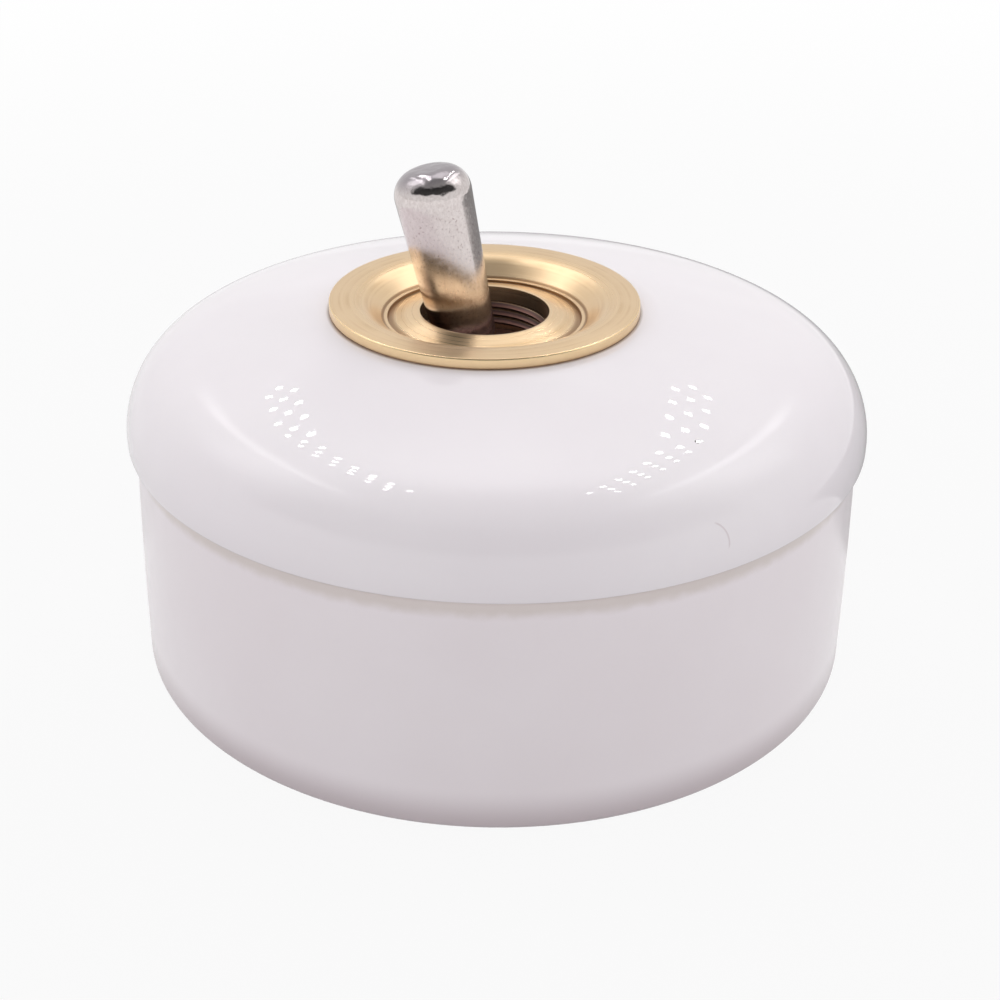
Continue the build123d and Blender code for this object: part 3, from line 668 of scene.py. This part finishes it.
def worn_plating():
    """Satin nickel of the lever: faint drawn-out scratches, dark pits and a knocked tip whose top is painted
    purple-grey as a dark reflection.
    """
    material, tree, shader, place = new_material("worn_plating", Metallic=1.0)
    along = placed(tree, place, LEVER_PIVOT, (0, -LEVER_LEAN, 0))
    wear = use_group(tree, HANDLING_WEAR, along, Scale=NICKEL_GRAIN, Stretch=NICKEL_STRETCH)
    reach = height_of(tree, along)
    tip = ramp(tree, reach, *TIP_FADE)
    body = blend_colour(tree, ramp(tree, wear["Scratches"], *SCRATCH_EDGES), NICKEL_DULL, NICKEL_LIGHT)
    # painted reflection, darker on top of the tip
    tip_darkened = blend_colour(tree, ramp(tree, reach, *TIP_REFLECTION_FADE), body, TIP_PAINTED_REFLECTION)
    pits = math_node(tree, "MULTIPLY", wear["Dents"], ramp(tree, tip, 0.0, 1.0, 1.0, TIP_PITS))
    link(tree, blend_colour(tree, pits, tip_darkened, NICKEL_PIT), shader.inputs["Base Color"])
    satin = ramp(tree, wear["Scratches"], *SCRATCH_EDGES, *NICKEL_ROUGH)
    gloss = ramp(tree, tip, 0.0, 1.0, 1.0, TIP_GLOSS)
    link(tree, math_node(tree, "MULTIPLY", satin, gloss), shader.inputs["Roughness"])
    uneven = math_node(tree, "MULTIPLY", noise(tree, along, KNOCK_GRAIN, detail=2.0), tip)
    knocks = bump(tree, uneven, KNOCK, KNOCK_DEPTH)
    height = math_node(tree, "SUBTRACT", wear["Scratches"], wear["Dents"])
    link(tree, bump(tree, height, NICKEL_MARK, NICKEL_MARK_DEPTH, knocks), shader.inputs["Normal"])
    return material


def plain_metal(name, light, dark, rough):
    """Rolled, drawn or plated metal inside the switch."""
    material, tree, shader, place = new_material(name, Metallic=1.0)
    wear = use_group(tree, HANDLING_WEAR, place, Scale=METAL_GRAIN, Stretch=METAL_STRETCH)
    tarnish = use_group(tree, CLOUDINESS, place, Scale=METAL_TARNISH)["Mask"]
    link(tree, blend_colour(tree, tarnish, light, dark), shader.inputs["Base Color"])
    satin = ramp(tree, wear["Scratches"], *SCRATCH_EDGES, rough, rough * METAL_DULL)
    link(tree, satin, shader.inputs["Roughness"])
    link(tree, bump(tree, wear["Scratches"], METAL_MARK, METAL_MARK_DEPTH), shader.inputs["Normal"])
    return material


def dress(material, *nodes):
    """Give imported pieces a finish."""
    for node in nodes:
        mesh = frame["nodes"][node].data
        mesh.materials.clear()
        mesh.materials.append(material)


def dress_solids():
    """Finishes of the pieces that are shown as they were packed."""
    dress(TURNED_BRASS, "threaded_bush")
    dress(worn_plating(), "toggle_lever")
    zinc = plain_metal("zinc_plate", light=(0.62, 0.61, 0.58), dark=(0.48, 0.47, 0.45), rough=0.30)
    dress(zinc, "bridge_frame", "pivot_pin", "fulcrum_pin")
    screws = plain_metal("screw_zinc", light=(0.58, 0.57, 0.55), dark=(0.42, 0.41, 0.40), rough=0.28)
    dress(screws, "floor_screws", "floor_nuts")
    dress(SPRING_STEEL, "pivot_clip")
    steel = plain_metal("plunger_steel", light=(0.60, 0.60, 0.60), dark=(0.46, 0.46, 0.47), rough=0.20)
    dress(steel, "plunger")
    strip = plain_metal("contact_strip", light=(0.76, 0.56, 0.28), dark=(0.58, 0.40, 0.18), rough=0.28)
    dress(strip, "rocker_contact", "fulcrum_bracket", "fixed_strip")
    studs = plain_metal("contact_stud", light=(0.80, 0.79, 0.76), dark=(0.62, 0.60, 0.57), rough=0.24)
    dress(studs, "rocker_stud", "fixed_stud")
    blocks = plain_metal("terminal_brass", light=(0.80, 0.60, 0.30), dark=(0.62, 0.44, 0.20), rough=0.26)
    dress(blocks, "common_terminal", "switched_terminal", "pivot_washers")
    clamps = plain_metal("screw_brass", light=(0.74, 0.55, 0.27), dark=(0.56, 0.39, 0.17), rough=0.26)
    dress(clamps, "clamp_screws", "terminal_screws")


# Outlines of the turned pieces, as (radius, height)
def arc(centre, radius, first, last):
    """Points of an arc, with angles counted from the radial direction."""
    turns = [first + (last - first) * step / ARC_STEPS for step in range(ARC_STEPS + 1)]
    return [(centre[0] + radius * cos(turn), centre[1] + radius * sin(turn)) for turn in turns]


def soft_corner(before, corner, after, radius):
    """Points of the arc that rounds a corner of an outline."""
    before, corner, after = Vector(before), Vector(corner), Vector(after)
    into = (corner - before).normalized()
    out = (after - corner).normalized()
    turn = atan2(into.x * out.y - into.y * out.x, into.dot(out))
    side = 1 if turn > 0 else -1
    start = corner - into * radius * tan(abs(turn) / 2)
    centre = start + Vector((-into.y, into.x)) * side * radius
    angles = [turn * step / CORNER_STEPS for step in range(CORNER_STEPS + 1)]
    return [tuple(centre + Matrix.Rotation(angle, 2) @ (start - centre)) for angle in angles]


def outline(*places):
    """Outline through the places; a third number rounds the corner there."""
    points = []
    for before, place, after in zip((places[-1],) + places, places, places[1:] + (places[0],)):
        if len(place) == 2:
            points.append(place)
        else:
            points += soft_corner(before[:2], place[:2], after[:2], place[2])
    return points


# Ways of making a piece
def turned_piece(name, points, axis_x=0.0):
    """Draw an outline point by point beside a vertical axis and spin it about that axis."""
    only()
    bpy.ops.mesh.primitive_plane_add(size=MM)
    piece = bpy.context.object
    piece.name = name
    bpy.ops.object.mode_set(mode="EDIT")
    bpy.ops.mesh.select_all(action="SELECT")
    bpy.ops.mesh.merge(type="CENTER")
    bpy.ops.transform.translate(value=(axis_x + points[0][0], 0, points[0][1]))
    for here, there in zip(points, points[1:]):
        step = (there[0] - here[0], 0, there[1] - here[1])
        bpy.ops.mesh.extrude_vertices_move(TRANSFORM_OT_translate={"value": step})
    bpy.ops.mesh.select_all(action="SELECT")
    bpy.ops.mesh.spin(steps=TURN_STEPS, angle=2 * pi, center=(axis_x, 0, 0), axis=(0, 0, 1))
    bpy.ops.mesh.select_all(action="SELECT")
    bpy.ops.mesh.remove_doubles(threshold=WELD)
    bpy.ops.mesh.normals_make_consistent(inside=False)
    bpy.ops.object.mode_set(mode="OBJECT")
    settle(piece)
    return piece


def finish_piece(piece, material, node=None, body="housing"):
    """Smooth a modelled piece, give it its finish and put it on its body."""
    only(piece)
    bpy.ops.object.shade_smooth_by_angle(angle=SMOOTH_ANGLE)
    piece.data.materials.clear()
    piece.data.materials.append(material)
    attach(piece, body)
    if node:
        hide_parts(node)


def cut(piece, tool):
    """Take a tool's shape out of a piece and put the tool away."""
    only(piece)
    modifier = piece.modifiers.new("cut", "BOOLEAN")
    modifier.operation = "DIFFERENCE"
    modifier.solver = "EXACT"
    modifier.object = tool
    bpy.ops.object.modifier_apply(modifier="cut")
    bpy.data.objects.remove(tool)


def drill(piece, place, radius, low, high, sides=HOLE_SIDES):
    """Cut an upright hole with its first corner on X."""
    only()
    bpy.ops.mesh.primitive_cylinder_add(
        vertices=sides, radius=radius, depth=high - low,
        location=(place[0], place[1], (low + high) / 2), rotation=(0, 0, pi / 2))
    cut(piece, bpy.context.object)


def countersink(piece, place, small, large, top):
    """Cut a cone of 90 degrees down from a level."""
    only()
    depth = large - small
    bpy.ops.mesh.primitive_cone_add(
        vertices=HOLE_SIDES, radius1=small, radius2=large, depth=depth,
        location=(place[0], place[1], top - depth / 2))
    cut(piece, bpy.context.object)


def wind(section, radius, turns, rise, steps):
    """Move the active section out from its axis and wind it upwards, with its ends closed."""
    bpy.ops.object.transform_apply(location=False, rotation=True, scale=False)
    bpy.ops.object.mode_set(mode="EDIT")
    bpy.ops.mesh.select_all(action="SELECT")
    bpy.ops.transform.translate(value=(radius, 0, 0))
    bpy.ops.object.mode_set(mode="OBJECT")
    winding = section.modifiers.new("turns", "SCREW")
    winding.axis = "Z"
    winding.angle = 2 * pi * turns
    winding.screw_offset = rise
    winding.steps = int(steps * turns)
    winding.render_steps = winding.steps
    winding.use_smooth_shade = False
    bpy.ops.object.modifier_apply(modifier="turns")
    settle(section)
    bpy.ops.object.mode_set(mode="EDIT")
    bpy.ops.mesh.select_all(action="SELECT")
    bpy.ops.mesh.fill_holes(sides=0)
    bpy.ops.mesh.select_all(action="SELECT")
    bpy.ops.mesh.normals_make_consistent(inside=False)
    bpy.ops.object.mode_set(mode="OBJECT")


# Base
def base_wall():
    """Outside of the base from foot to top, swelling a little at half height."""
    shares = [step / ARC_STEPS for step in range(1, ARC_STEPS)]
    return [(BASE_FOOT_R + (BASE_TOP_R - BASE_FOOT_R) * share + 4 * BASE_BULGE * share * (1 - share),
             BASE_H * share) for share in shares]


def cut_wall_holes(piece, side):
    """Countersunk hole for one wall screw, and the way for one wire."""
    wall = MOUNTS["wall_screws"]["dims"]
    hole_r = wall["hole_r_mm"] * MM
    place = (0, side * wall["spacing_y_mm"] / 2 * MM)
    drill(piece, place, hole_r, 0, BASE_H)
    countersink(piece, place, hole_r, WALL_SINK_R, BASE_FLOOR_Z)
    cable = MOUNTS["cable_hole_right" if side > 0 else "cable_hole_left"]
    drill(piece, cable["pos_m"], cable["dims"]["r_mm"] * MM, 0, BASE_H)


def cut_screw_holes(piece, side):
    """Hole and pocket for one terminal screw, and for two floor screws with their nuts."""
    terminal = (NECK_X + side * (TERMINAL_SCREWS_HIGH.x - NECK_X - SCREW_HEAD_R), 0)
    drill(piece, terminal, SCREW_HOLE_R, 0, BASE_H)
    drill(piece, terminal, SCREW_POCKET_R, 0, SCREW_POCKET_TOP)
    foot = (NECK_X, side * (FLOOR_SCREWS_HIGH.y - SCREW_HEAD_R))
    strip = (NECK_X + side * (FLOOR_SCREWS_HIGH.x - NECK_X - SCREW_HEAD_R), 0)
    for screw in (foot, strip):
        drill(piece, screw, SCREW_HOLE_R, 0, BASE_H)
        drill(piece, screw, NUT_POCKET_R, 0, NUT_POCKET_TOP, sides=NUT_SIDES)


def base_body():
    """Cup-shaped base with its recessed back, screw holes, cable holes and nut pockets."""
    rim_z = BASE_HIGH.z
    points = outline(
        (0, BACK_RECESS),
        (BACK_RECESS_R, BACK_RECESS),
        (BACK_RECESS_R, 0),
        (BASE_FOOT_R, 0, BASE_FOOT_ROUND),
        *base_wall(),
        (BASE_TOP_R, BASE_H, BASE_TOP_ROUND),
        (SPIGOT_R, BASE_H),
        (SPIGOT_R, rim_z, RIM_ROUND),
        (BASE_BORE_R, rim_z, RIM_ROUND),
        (BASE_BORE_R, BASE_FLOOR_Z, BASE_FLOOR_ROUND),
        (0, BASE_FLOOR_Z))
    piece = turned_piece("base_body", points)
    for side in SIDES:
        cut_wall_holes(piece, side)
        cut_screw_holes(piece, side)
    finish_piece(piece, base_glaze(), "porcelain_base")


# Cover
def bend(start, turn, length, first, last):
    """Points of a stretch whose curvature goes evenly from first to last, and the turn at its end."""
    points = [Vector(start)]
    step = length / ARC_STEPS
    for index in range(ARC_STEPS):
        change = (first + (last - first) * (index + 0.5) / ARC_STEPS) * step
        heading = turn + change / 2
        points.append(points[-1] + Vector((-sin(heading), cos(heading))) * step)
        turn += change
    return [tuple(point) for point in points[1:]], turn


def eased_dome(start):
    """Outside of the cover from the lip to the land, with no sudden change of curvature."""
    tight, flat = 1 / EASED_SHOULDER_R, 1 / CROWN_R
    shoulder, turn = bend(start, 0, EASED_SHOULDER_R * EASED_SHOULDER_TURN, tight, tight)
    ease, turn = bend(shoulder[-1], turn, EASE_LENGTH, tight, flat)
    crown, turn = bend(ease[-1], turn, CROWN_R * (acos(LAND_R / CROWN_R) - turn), flat, flat)
    return shoulder + ease + crown[:-1]


def cover_shell():
    """Domed cover: crown, rounded shoulder and short lip, with an even wall."""
    shoulder_z = BASE_H + COVER_LIP_H
    centre_r = COVER_R - SHOULDER_R
    crown_z = shoulder_z - sqrt((CROWN_R - SHOULDER_R) ** 2 - centre_r ** 2)
    turn = atan2(shoulder_z - crown_z, centre_r)
    inner_r = COVER_R - COVER_WALL
    inner_crown = CROWN_R - COVER_WALL
    hole_turn = pi / 2 - atan2(COVER_HOLE_R, sqrt(inner_crown ** 2 - COVER_HOLE_R ** 2))
    points = outline(
        (inner_r, BASE_H),
        (COVER_R, BASE_H, COVER_LIP_ROUND),
        (COVER_R, shoulder_z),
        *eased_dome((COVER_R, shoulder_z)),
        (LAND_R, LAND_Z),
        (COVER_HOLE_R, LAND_Z),
        *arc((0, crown_z), inner_crown, hole_turn, turn),
        *arc((centre_r, shoulder_z), SHOULDER_R - COVER_WALL, turn, 0)[1:])
    piece = turned_piece("cover_shell", points + points[:1])
    finish_piece(piece, cover_glaze(), "porcelain_cover")


# Ring nut
def brass_ring():
    """Dished ring nut: flat flange, rolled mouth, ledge, groove, collar and sleeve."""
    top = RING_HIGH.z
    dish_z = top - RING_DISH_DEPTH
    groove_z = dish_z - RING_LEDGE_STEP
    collar_z = groove_z + RING_COLLAR_RISE
    hub_z = LAND_Z - RING_HUB_H
    points = outline(
        (RING_BORE_R, RING_LOW.z),
        (RING_BORE_R, collar_z, RING_BURR),
        (RING_BORE_R + RING_COLLAR_LIP, collar_z, RING_BURR),
        (RING_LEDGE_R, groove_z),
        (RING_LEDGE_R, dish_z, RING_BURR),
        (RING_DISH_R, dish_z, RING_BURR),
        (RING_MOUTH_R, top, RING_MOUTH_ROUND),
        (RING_R, top, RING_EDGE),
        (RING_R, LAND_Z, RING_EDGE),
        (RING_HUB_R, LAND_Z),
        (RING_HUB_R, hub_z),
        (RING_SLEEVE_R, hub_z),
        (RING_SLEEVE_R, RING_LOW.z))
    piece = turned_piece("brass_ring", points + points[:1], NECK_X)
    finish_piece(piece, TURNED_BRASS, "ring_nut")


def ring_thread():
    """Thread ridges in the ring's bore, down to just above the bush."""
    only()
    bpy.ops.mesh.primitive_circle_add(
        vertices=THREAD_SIDES, radius=THREAD_RIDGE, fill_type="NGON",
        location=(NECK_X, 0, BUSH_TOP_Z + THREAD_CLEAR + THREAD_RIDGE), rotation=(pi / 2, 0, 0))
    thread = bpy.context.object
    thread.name = "ring_thread"
    wind(thread, RING_BORE_R, THREAD_TURNS, THREAD_PITCH * THREAD_TURNS, THREAD_STEPS)
    finish_piece(thread, TURNED_BRASS)


# Plunger's coil
def coil_spring():
    """Coil above the plunger, on the lever's body."""
    only()
    bpy.ops.mesh.primitive_circle_add(
        vertices=SPRING_SIDES, radius=SPRING_WIRE_R, fill_type="NGON", rotation=(pi / 2, 0, 0))
    coil = bpy.context.object
    coil.name = "coil_spring"
    wind(coil, SPRING_COIL_R, SPRING_TURNS, SPRING_HIGH - SPRING_LOW, SPRING_STEPS)
    axis = Vector(JOINTS["plunger_slide"]["axis"])
    coil.rotation_euler = (0, -LEVER_LEAN, 0)
    coil.location = LEVER_PIVOT + axis * SPRING_LOW
    settle(coil)
    finish_piece(coil, SPRING_STEEL, "plunger_spring", "lever")
    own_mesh(coil)


# Studio
def bare_material(name):
    """Material with no nodes yet, and its tree."""
    material = bpy.data.materials.new(name)
    material.use_nodes = True
    material.node_tree.nodes.clear()
    return material, material.node_tree


def show(tree, shader):
    """Put a shader on the surface."""
    out = add_node(tree, "ShaderNodeOutputMaterial")
    link(tree, shader.outputs[0], out.inputs["Surface"])


def emission(tree, strength):
    return feed(tree, add_node(tree, "ShaderNodeEmission"), Color=WHITE, Strength=strength)


def in_view(tree):
    """1 for rays from the camera, mirrored ones and transmitted ones."""
    path = add_node(tree, "ShaderNodeLightPath").outputs
    seen = math_node(tree, "MAXIMUM", path["Is Camera Ray"], path["Is Glossy Ray"])
    return math_node(tree, "MAXIMUM", seen, path["Is Transmission Ray"])


def floor_material():
    """Pale floor that stays white to the camera and in reflections and keeps a soft shadow."""
    material, tree = bare_material("studio_floor")
    matt = feed(tree, add_node(tree, "ShaderNodeBsdfDiffuse"), Color=FLOOR_MATT)
    away = radius_of(tree, object_place(tree))
    whiteness = ramp(tree, away, FLOOR_NEAR, FLOOR_FAR, FLOOR_WHITE, 1.0)
    mixed = add_node(tree, "ShaderNodeMixShader")
    link(tree, math_node(tree, "MULTIPLY", in_view(tree), whiteness), mixed.inputs[0])
    link(tree, matt.outputs[0], mixed.inputs[1])
    link(tree, emission(tree, 1.0).outputs[0], mixed.inputs[2])
    show(tree, mixed)
    return material


def floor():
    """Wide floor that the part stands on."""
    only()
    bpy.ops.mesh.primitive_plane_add(size=2 * FLOOR_HALF, location=(0, 0, GROUND_Z))
    ground = bpy.context.object
    ground.name = "studio_floor"
    settle(ground)
    ground.data.materials.append(floor_material())


def only_in_reflections(card):
    card.visible_camera = False
    card.visible_diffuse = False
    card.visible_shadow = False


def side_glow(tree, place, side):
    """Bright patch on one side of the tent, and a soft streak that runs back beside the row of lamps."""
    off_patch = distance_from(tree, place, on_side(PATCH_PLACE, side))
    patch = ramp(tree, off_patch, *PATCH_FADE, 0.0, PATCH_GLOW)
    across = on_side(STREAK_NEAR, side).cross(on_side(STREAK_FAR, side)).normalized()
    off_line = math_node(tree, "ABSOLUTE", measure(tree, "DOT_PRODUCT", place, across))
    streak = ramp(tree, off_line, STREAK_HALF, 0.0, 0.0, STREAK_GLOW)
    raised = ramp(tree, height_of(tree, place), *STREAK_RISE)
    behind = ramp(tree, distance_from(tree, place, STREAK_END), *STREAK_END_FADE)
    streak = math_node(tree, "MULTIPLY", streak, math_node(tree, "MULTIPLY", raised, behind))
    return math_node(tree, "ADD", patch, streak)


def tent_opening(tree, place):
    """Mask of a band round the front of the tent, above the camera."""
    parts = split(tree, place)
    off_band = math_node(tree, "ABSOLUTE", math_node(tree, "SUBTRACT", parts["Z"], OPENING_Z))
    band = ramp(tree, off_band, *OPENING_BAND)
    front = ramp(tree, parts["Y"], 0.0, OPENING_FRONT)
    return math_node(tree, "MULTIPLY", band, front)


def tent_material():
    """Grey that darkens towards the open front and overhead, with a glow at the back and on each side."""
    material, tree = bare_material("tent_grey")
    place = object_place(tree)
    grey = ramp(tree, tent_opening(tree, place), 0.0, 1.0, TENT_GREY, OPENING_GREY)
    overhead = ramp(tree, distance_from(tree, place, TOP_PLACE), *TOP_FADE, TOP_DIM, 1.0)
    grey = math_node(tree, "MULTIPLY", grey, overhead)
    back = ramp(tree, distance_from(tree, place, BACK_GLOW_PLACE), *BACK_GLOW_FADE, 0.0, BACK_GLOW)
    grey = math_node(tree, "ADD", grey, back)
    sides = math_node(tree, "ADD", side_glow(tree, place, -1), side_glow(tree, place, 1))
    show(tree, emission(tree, math_node(tree, "ADD", grey, sides)))
    return material


def light_tent():
    """Half dome over the object, which only reflections show."""
    only()
    bpy.ops.mesh.primitive_uv_sphere_add(segments=TENT_SEGMENTS, ring_count=TENT_RINGS, radius=TENT_R)
    tent = bpy.context.object
    tent.name = "light_tent"
    bpy.ops.object.mode_set(mode="EDIT")
    bpy.ops.mesh.select_all(action="SELECT")
    bpy.ops.mesh.bisect(plane_co=(0, 0, 0), plane_no=(0, 0, 1), clear_inner=True)
    bpy.ops.object.mode_set(mode="OBJECT")
    tent.data.materials.append(tent_material())
    only_in_reflections(tent)


def mat_material():
    """Grey in the middle that fades to the floor's white."""
    material, tree = bare_material("mat_grey")
    off_middle = distance_from(tree, object_place(tree), MAT_MIDDLE)
    show(tree, emission(tree, ramp(tree, off_middle, *MAT_FADE, MAT_GREY, FLOOR_WHITE)))
    return material


def grey_mat():
    """Grey sheet on the floor behind the object, which only reflections show."""
    only()
    bpy.ops.mesh.primitive_plane_add(size=1, location=MAT_PLACE)
    mat = bpy.context.object
    mat.name = "grey_mat"
    mat.scale = MAT_SIZE
    settle(mat)
    mat.data.materials.append(mat_material())
    only_in_reflections(mat)


def lamp(name, place, aim, size, power, mirrored=False):
    """Rectangular lamp turned to a point; a mirrored one shows in reflections and does no more."""
    data = bpy.data.lights.new(name, "AREA")
    data.shape = "RECTANGLE"
    data.size, data.size_y = size
    data.energy = power
    made = bpy.data.objects.new(name, data)
    bpy.context.scene.collection.objects.link(made)
    made.location = place
    made.rotation_euler = (Vector(aim) - Vector(place)).to_track_quat("-Z", "Y").to_euler()
    made.visible_camera = False
    made.visible_glossy = mirrored
    made.visible_diffuse = not mirrored


def led_strip(side):
    """Staggered columns of small lamps under the ceiling, running from front to back."""
    for row in range(LED_ROWS):
        for column in range(LED_COLUMNS):
            y = LED_FRONT + (row + column % 2 / 2) * LED_PITCH
            x = side * (LED_INSET[side] + LED_SPREAD[side] * y - column * LED_SPACING[side])
            place = (x, y, LAMP_HEIGHT)
            lamp(f"led_{side}_{row}_{column}", place, (x, y, 0), LED_SIZE, LED_POWER, mirrored=True)


def lights():
    """Two strips of small lamps, and soft lamps above, beside, before and behind the object."""
    for side in SIDES:
        led_strip(side)
        lamp(f"strip_{side}", on_side(STRIP_PLACE, side), LAMP_AIM, STRIP_SIZE, STRIP_POWER)
        lamp(f"wall_{side}", on_side(WALL_PLACE, side), LAMP_AIM, WALL_SIZE, WALL_POWER)
    lamp("front", FRONT_PLACE, LAMP_AIM, FRONT_SIZE, FRONT_POWER)
    lamp("back", BACK_PLACE, LAMP_AIM, BACK_SIZE, BACK_POWER)


def surroundings():
    """Pale even light from all round, white to the camera and in reflections."""
    world = bpy.data.worlds.new("studio")
    bpy.context.scene.world = world
    world.use_nodes = True
    tree = world.node_tree
    strength = math_node(tree, "MAXIMUM", in_view(tree), WORLD_LIGHT)
    feed(tree, tree.nodes["Background"], Color=WHITE, Strength=strength)


def camera():
    """Camera that looks down at the part, with a small roll."""
    data = bpy.data.cameras.new("camera")
    data.lens = LENS
    data.clip_start = CLIP_START
    made = bpy.data.objects.new("camera", data)
    bpy.context.scene.collection.objects.link(made)
    forward = Vector((0, cos(CAMERA_PITCH), -sin(CAMERA_PITCH)))
    level = Vector((1, 0, 0))
    upward = level.cross(forward)
    right = level * cos(CAMERA_ROLL) + upward * sin(CAMERA_ROLL)
    up = upward * cos(CAMERA_ROLL) - level * sin(CAMERA_ROLL)
    place = Vector((0, 0, AIM_HEIGHT)) - forward * CAMERA_DISTANCE
    place = place + right * CAMERA_AIM.x + up * CAMERA_AIM.z
    turn = Matrix((right, up, -forward)).transposed()
    made.matrix_world = Matrix.Translation(place) @ turn.to_4x4()
    bpy.context.scene.camera = made


bpy.context.scene.view_settings.view_transform = "Standard"
TURNED_BRASS = turned_brass()
SPRING_STEEL = plain_metal("spring_wire", light=(0.40, 0.39, 0.38), dark=(0.26, 0.25, 0.25), rough=0.30)
base_body()
cover_shell()
brass_ring()
ring_thread()
coil_spring()
dress_solids()
floor()
light_tent()
grey_mat()
lights()
surroundings()
camera()
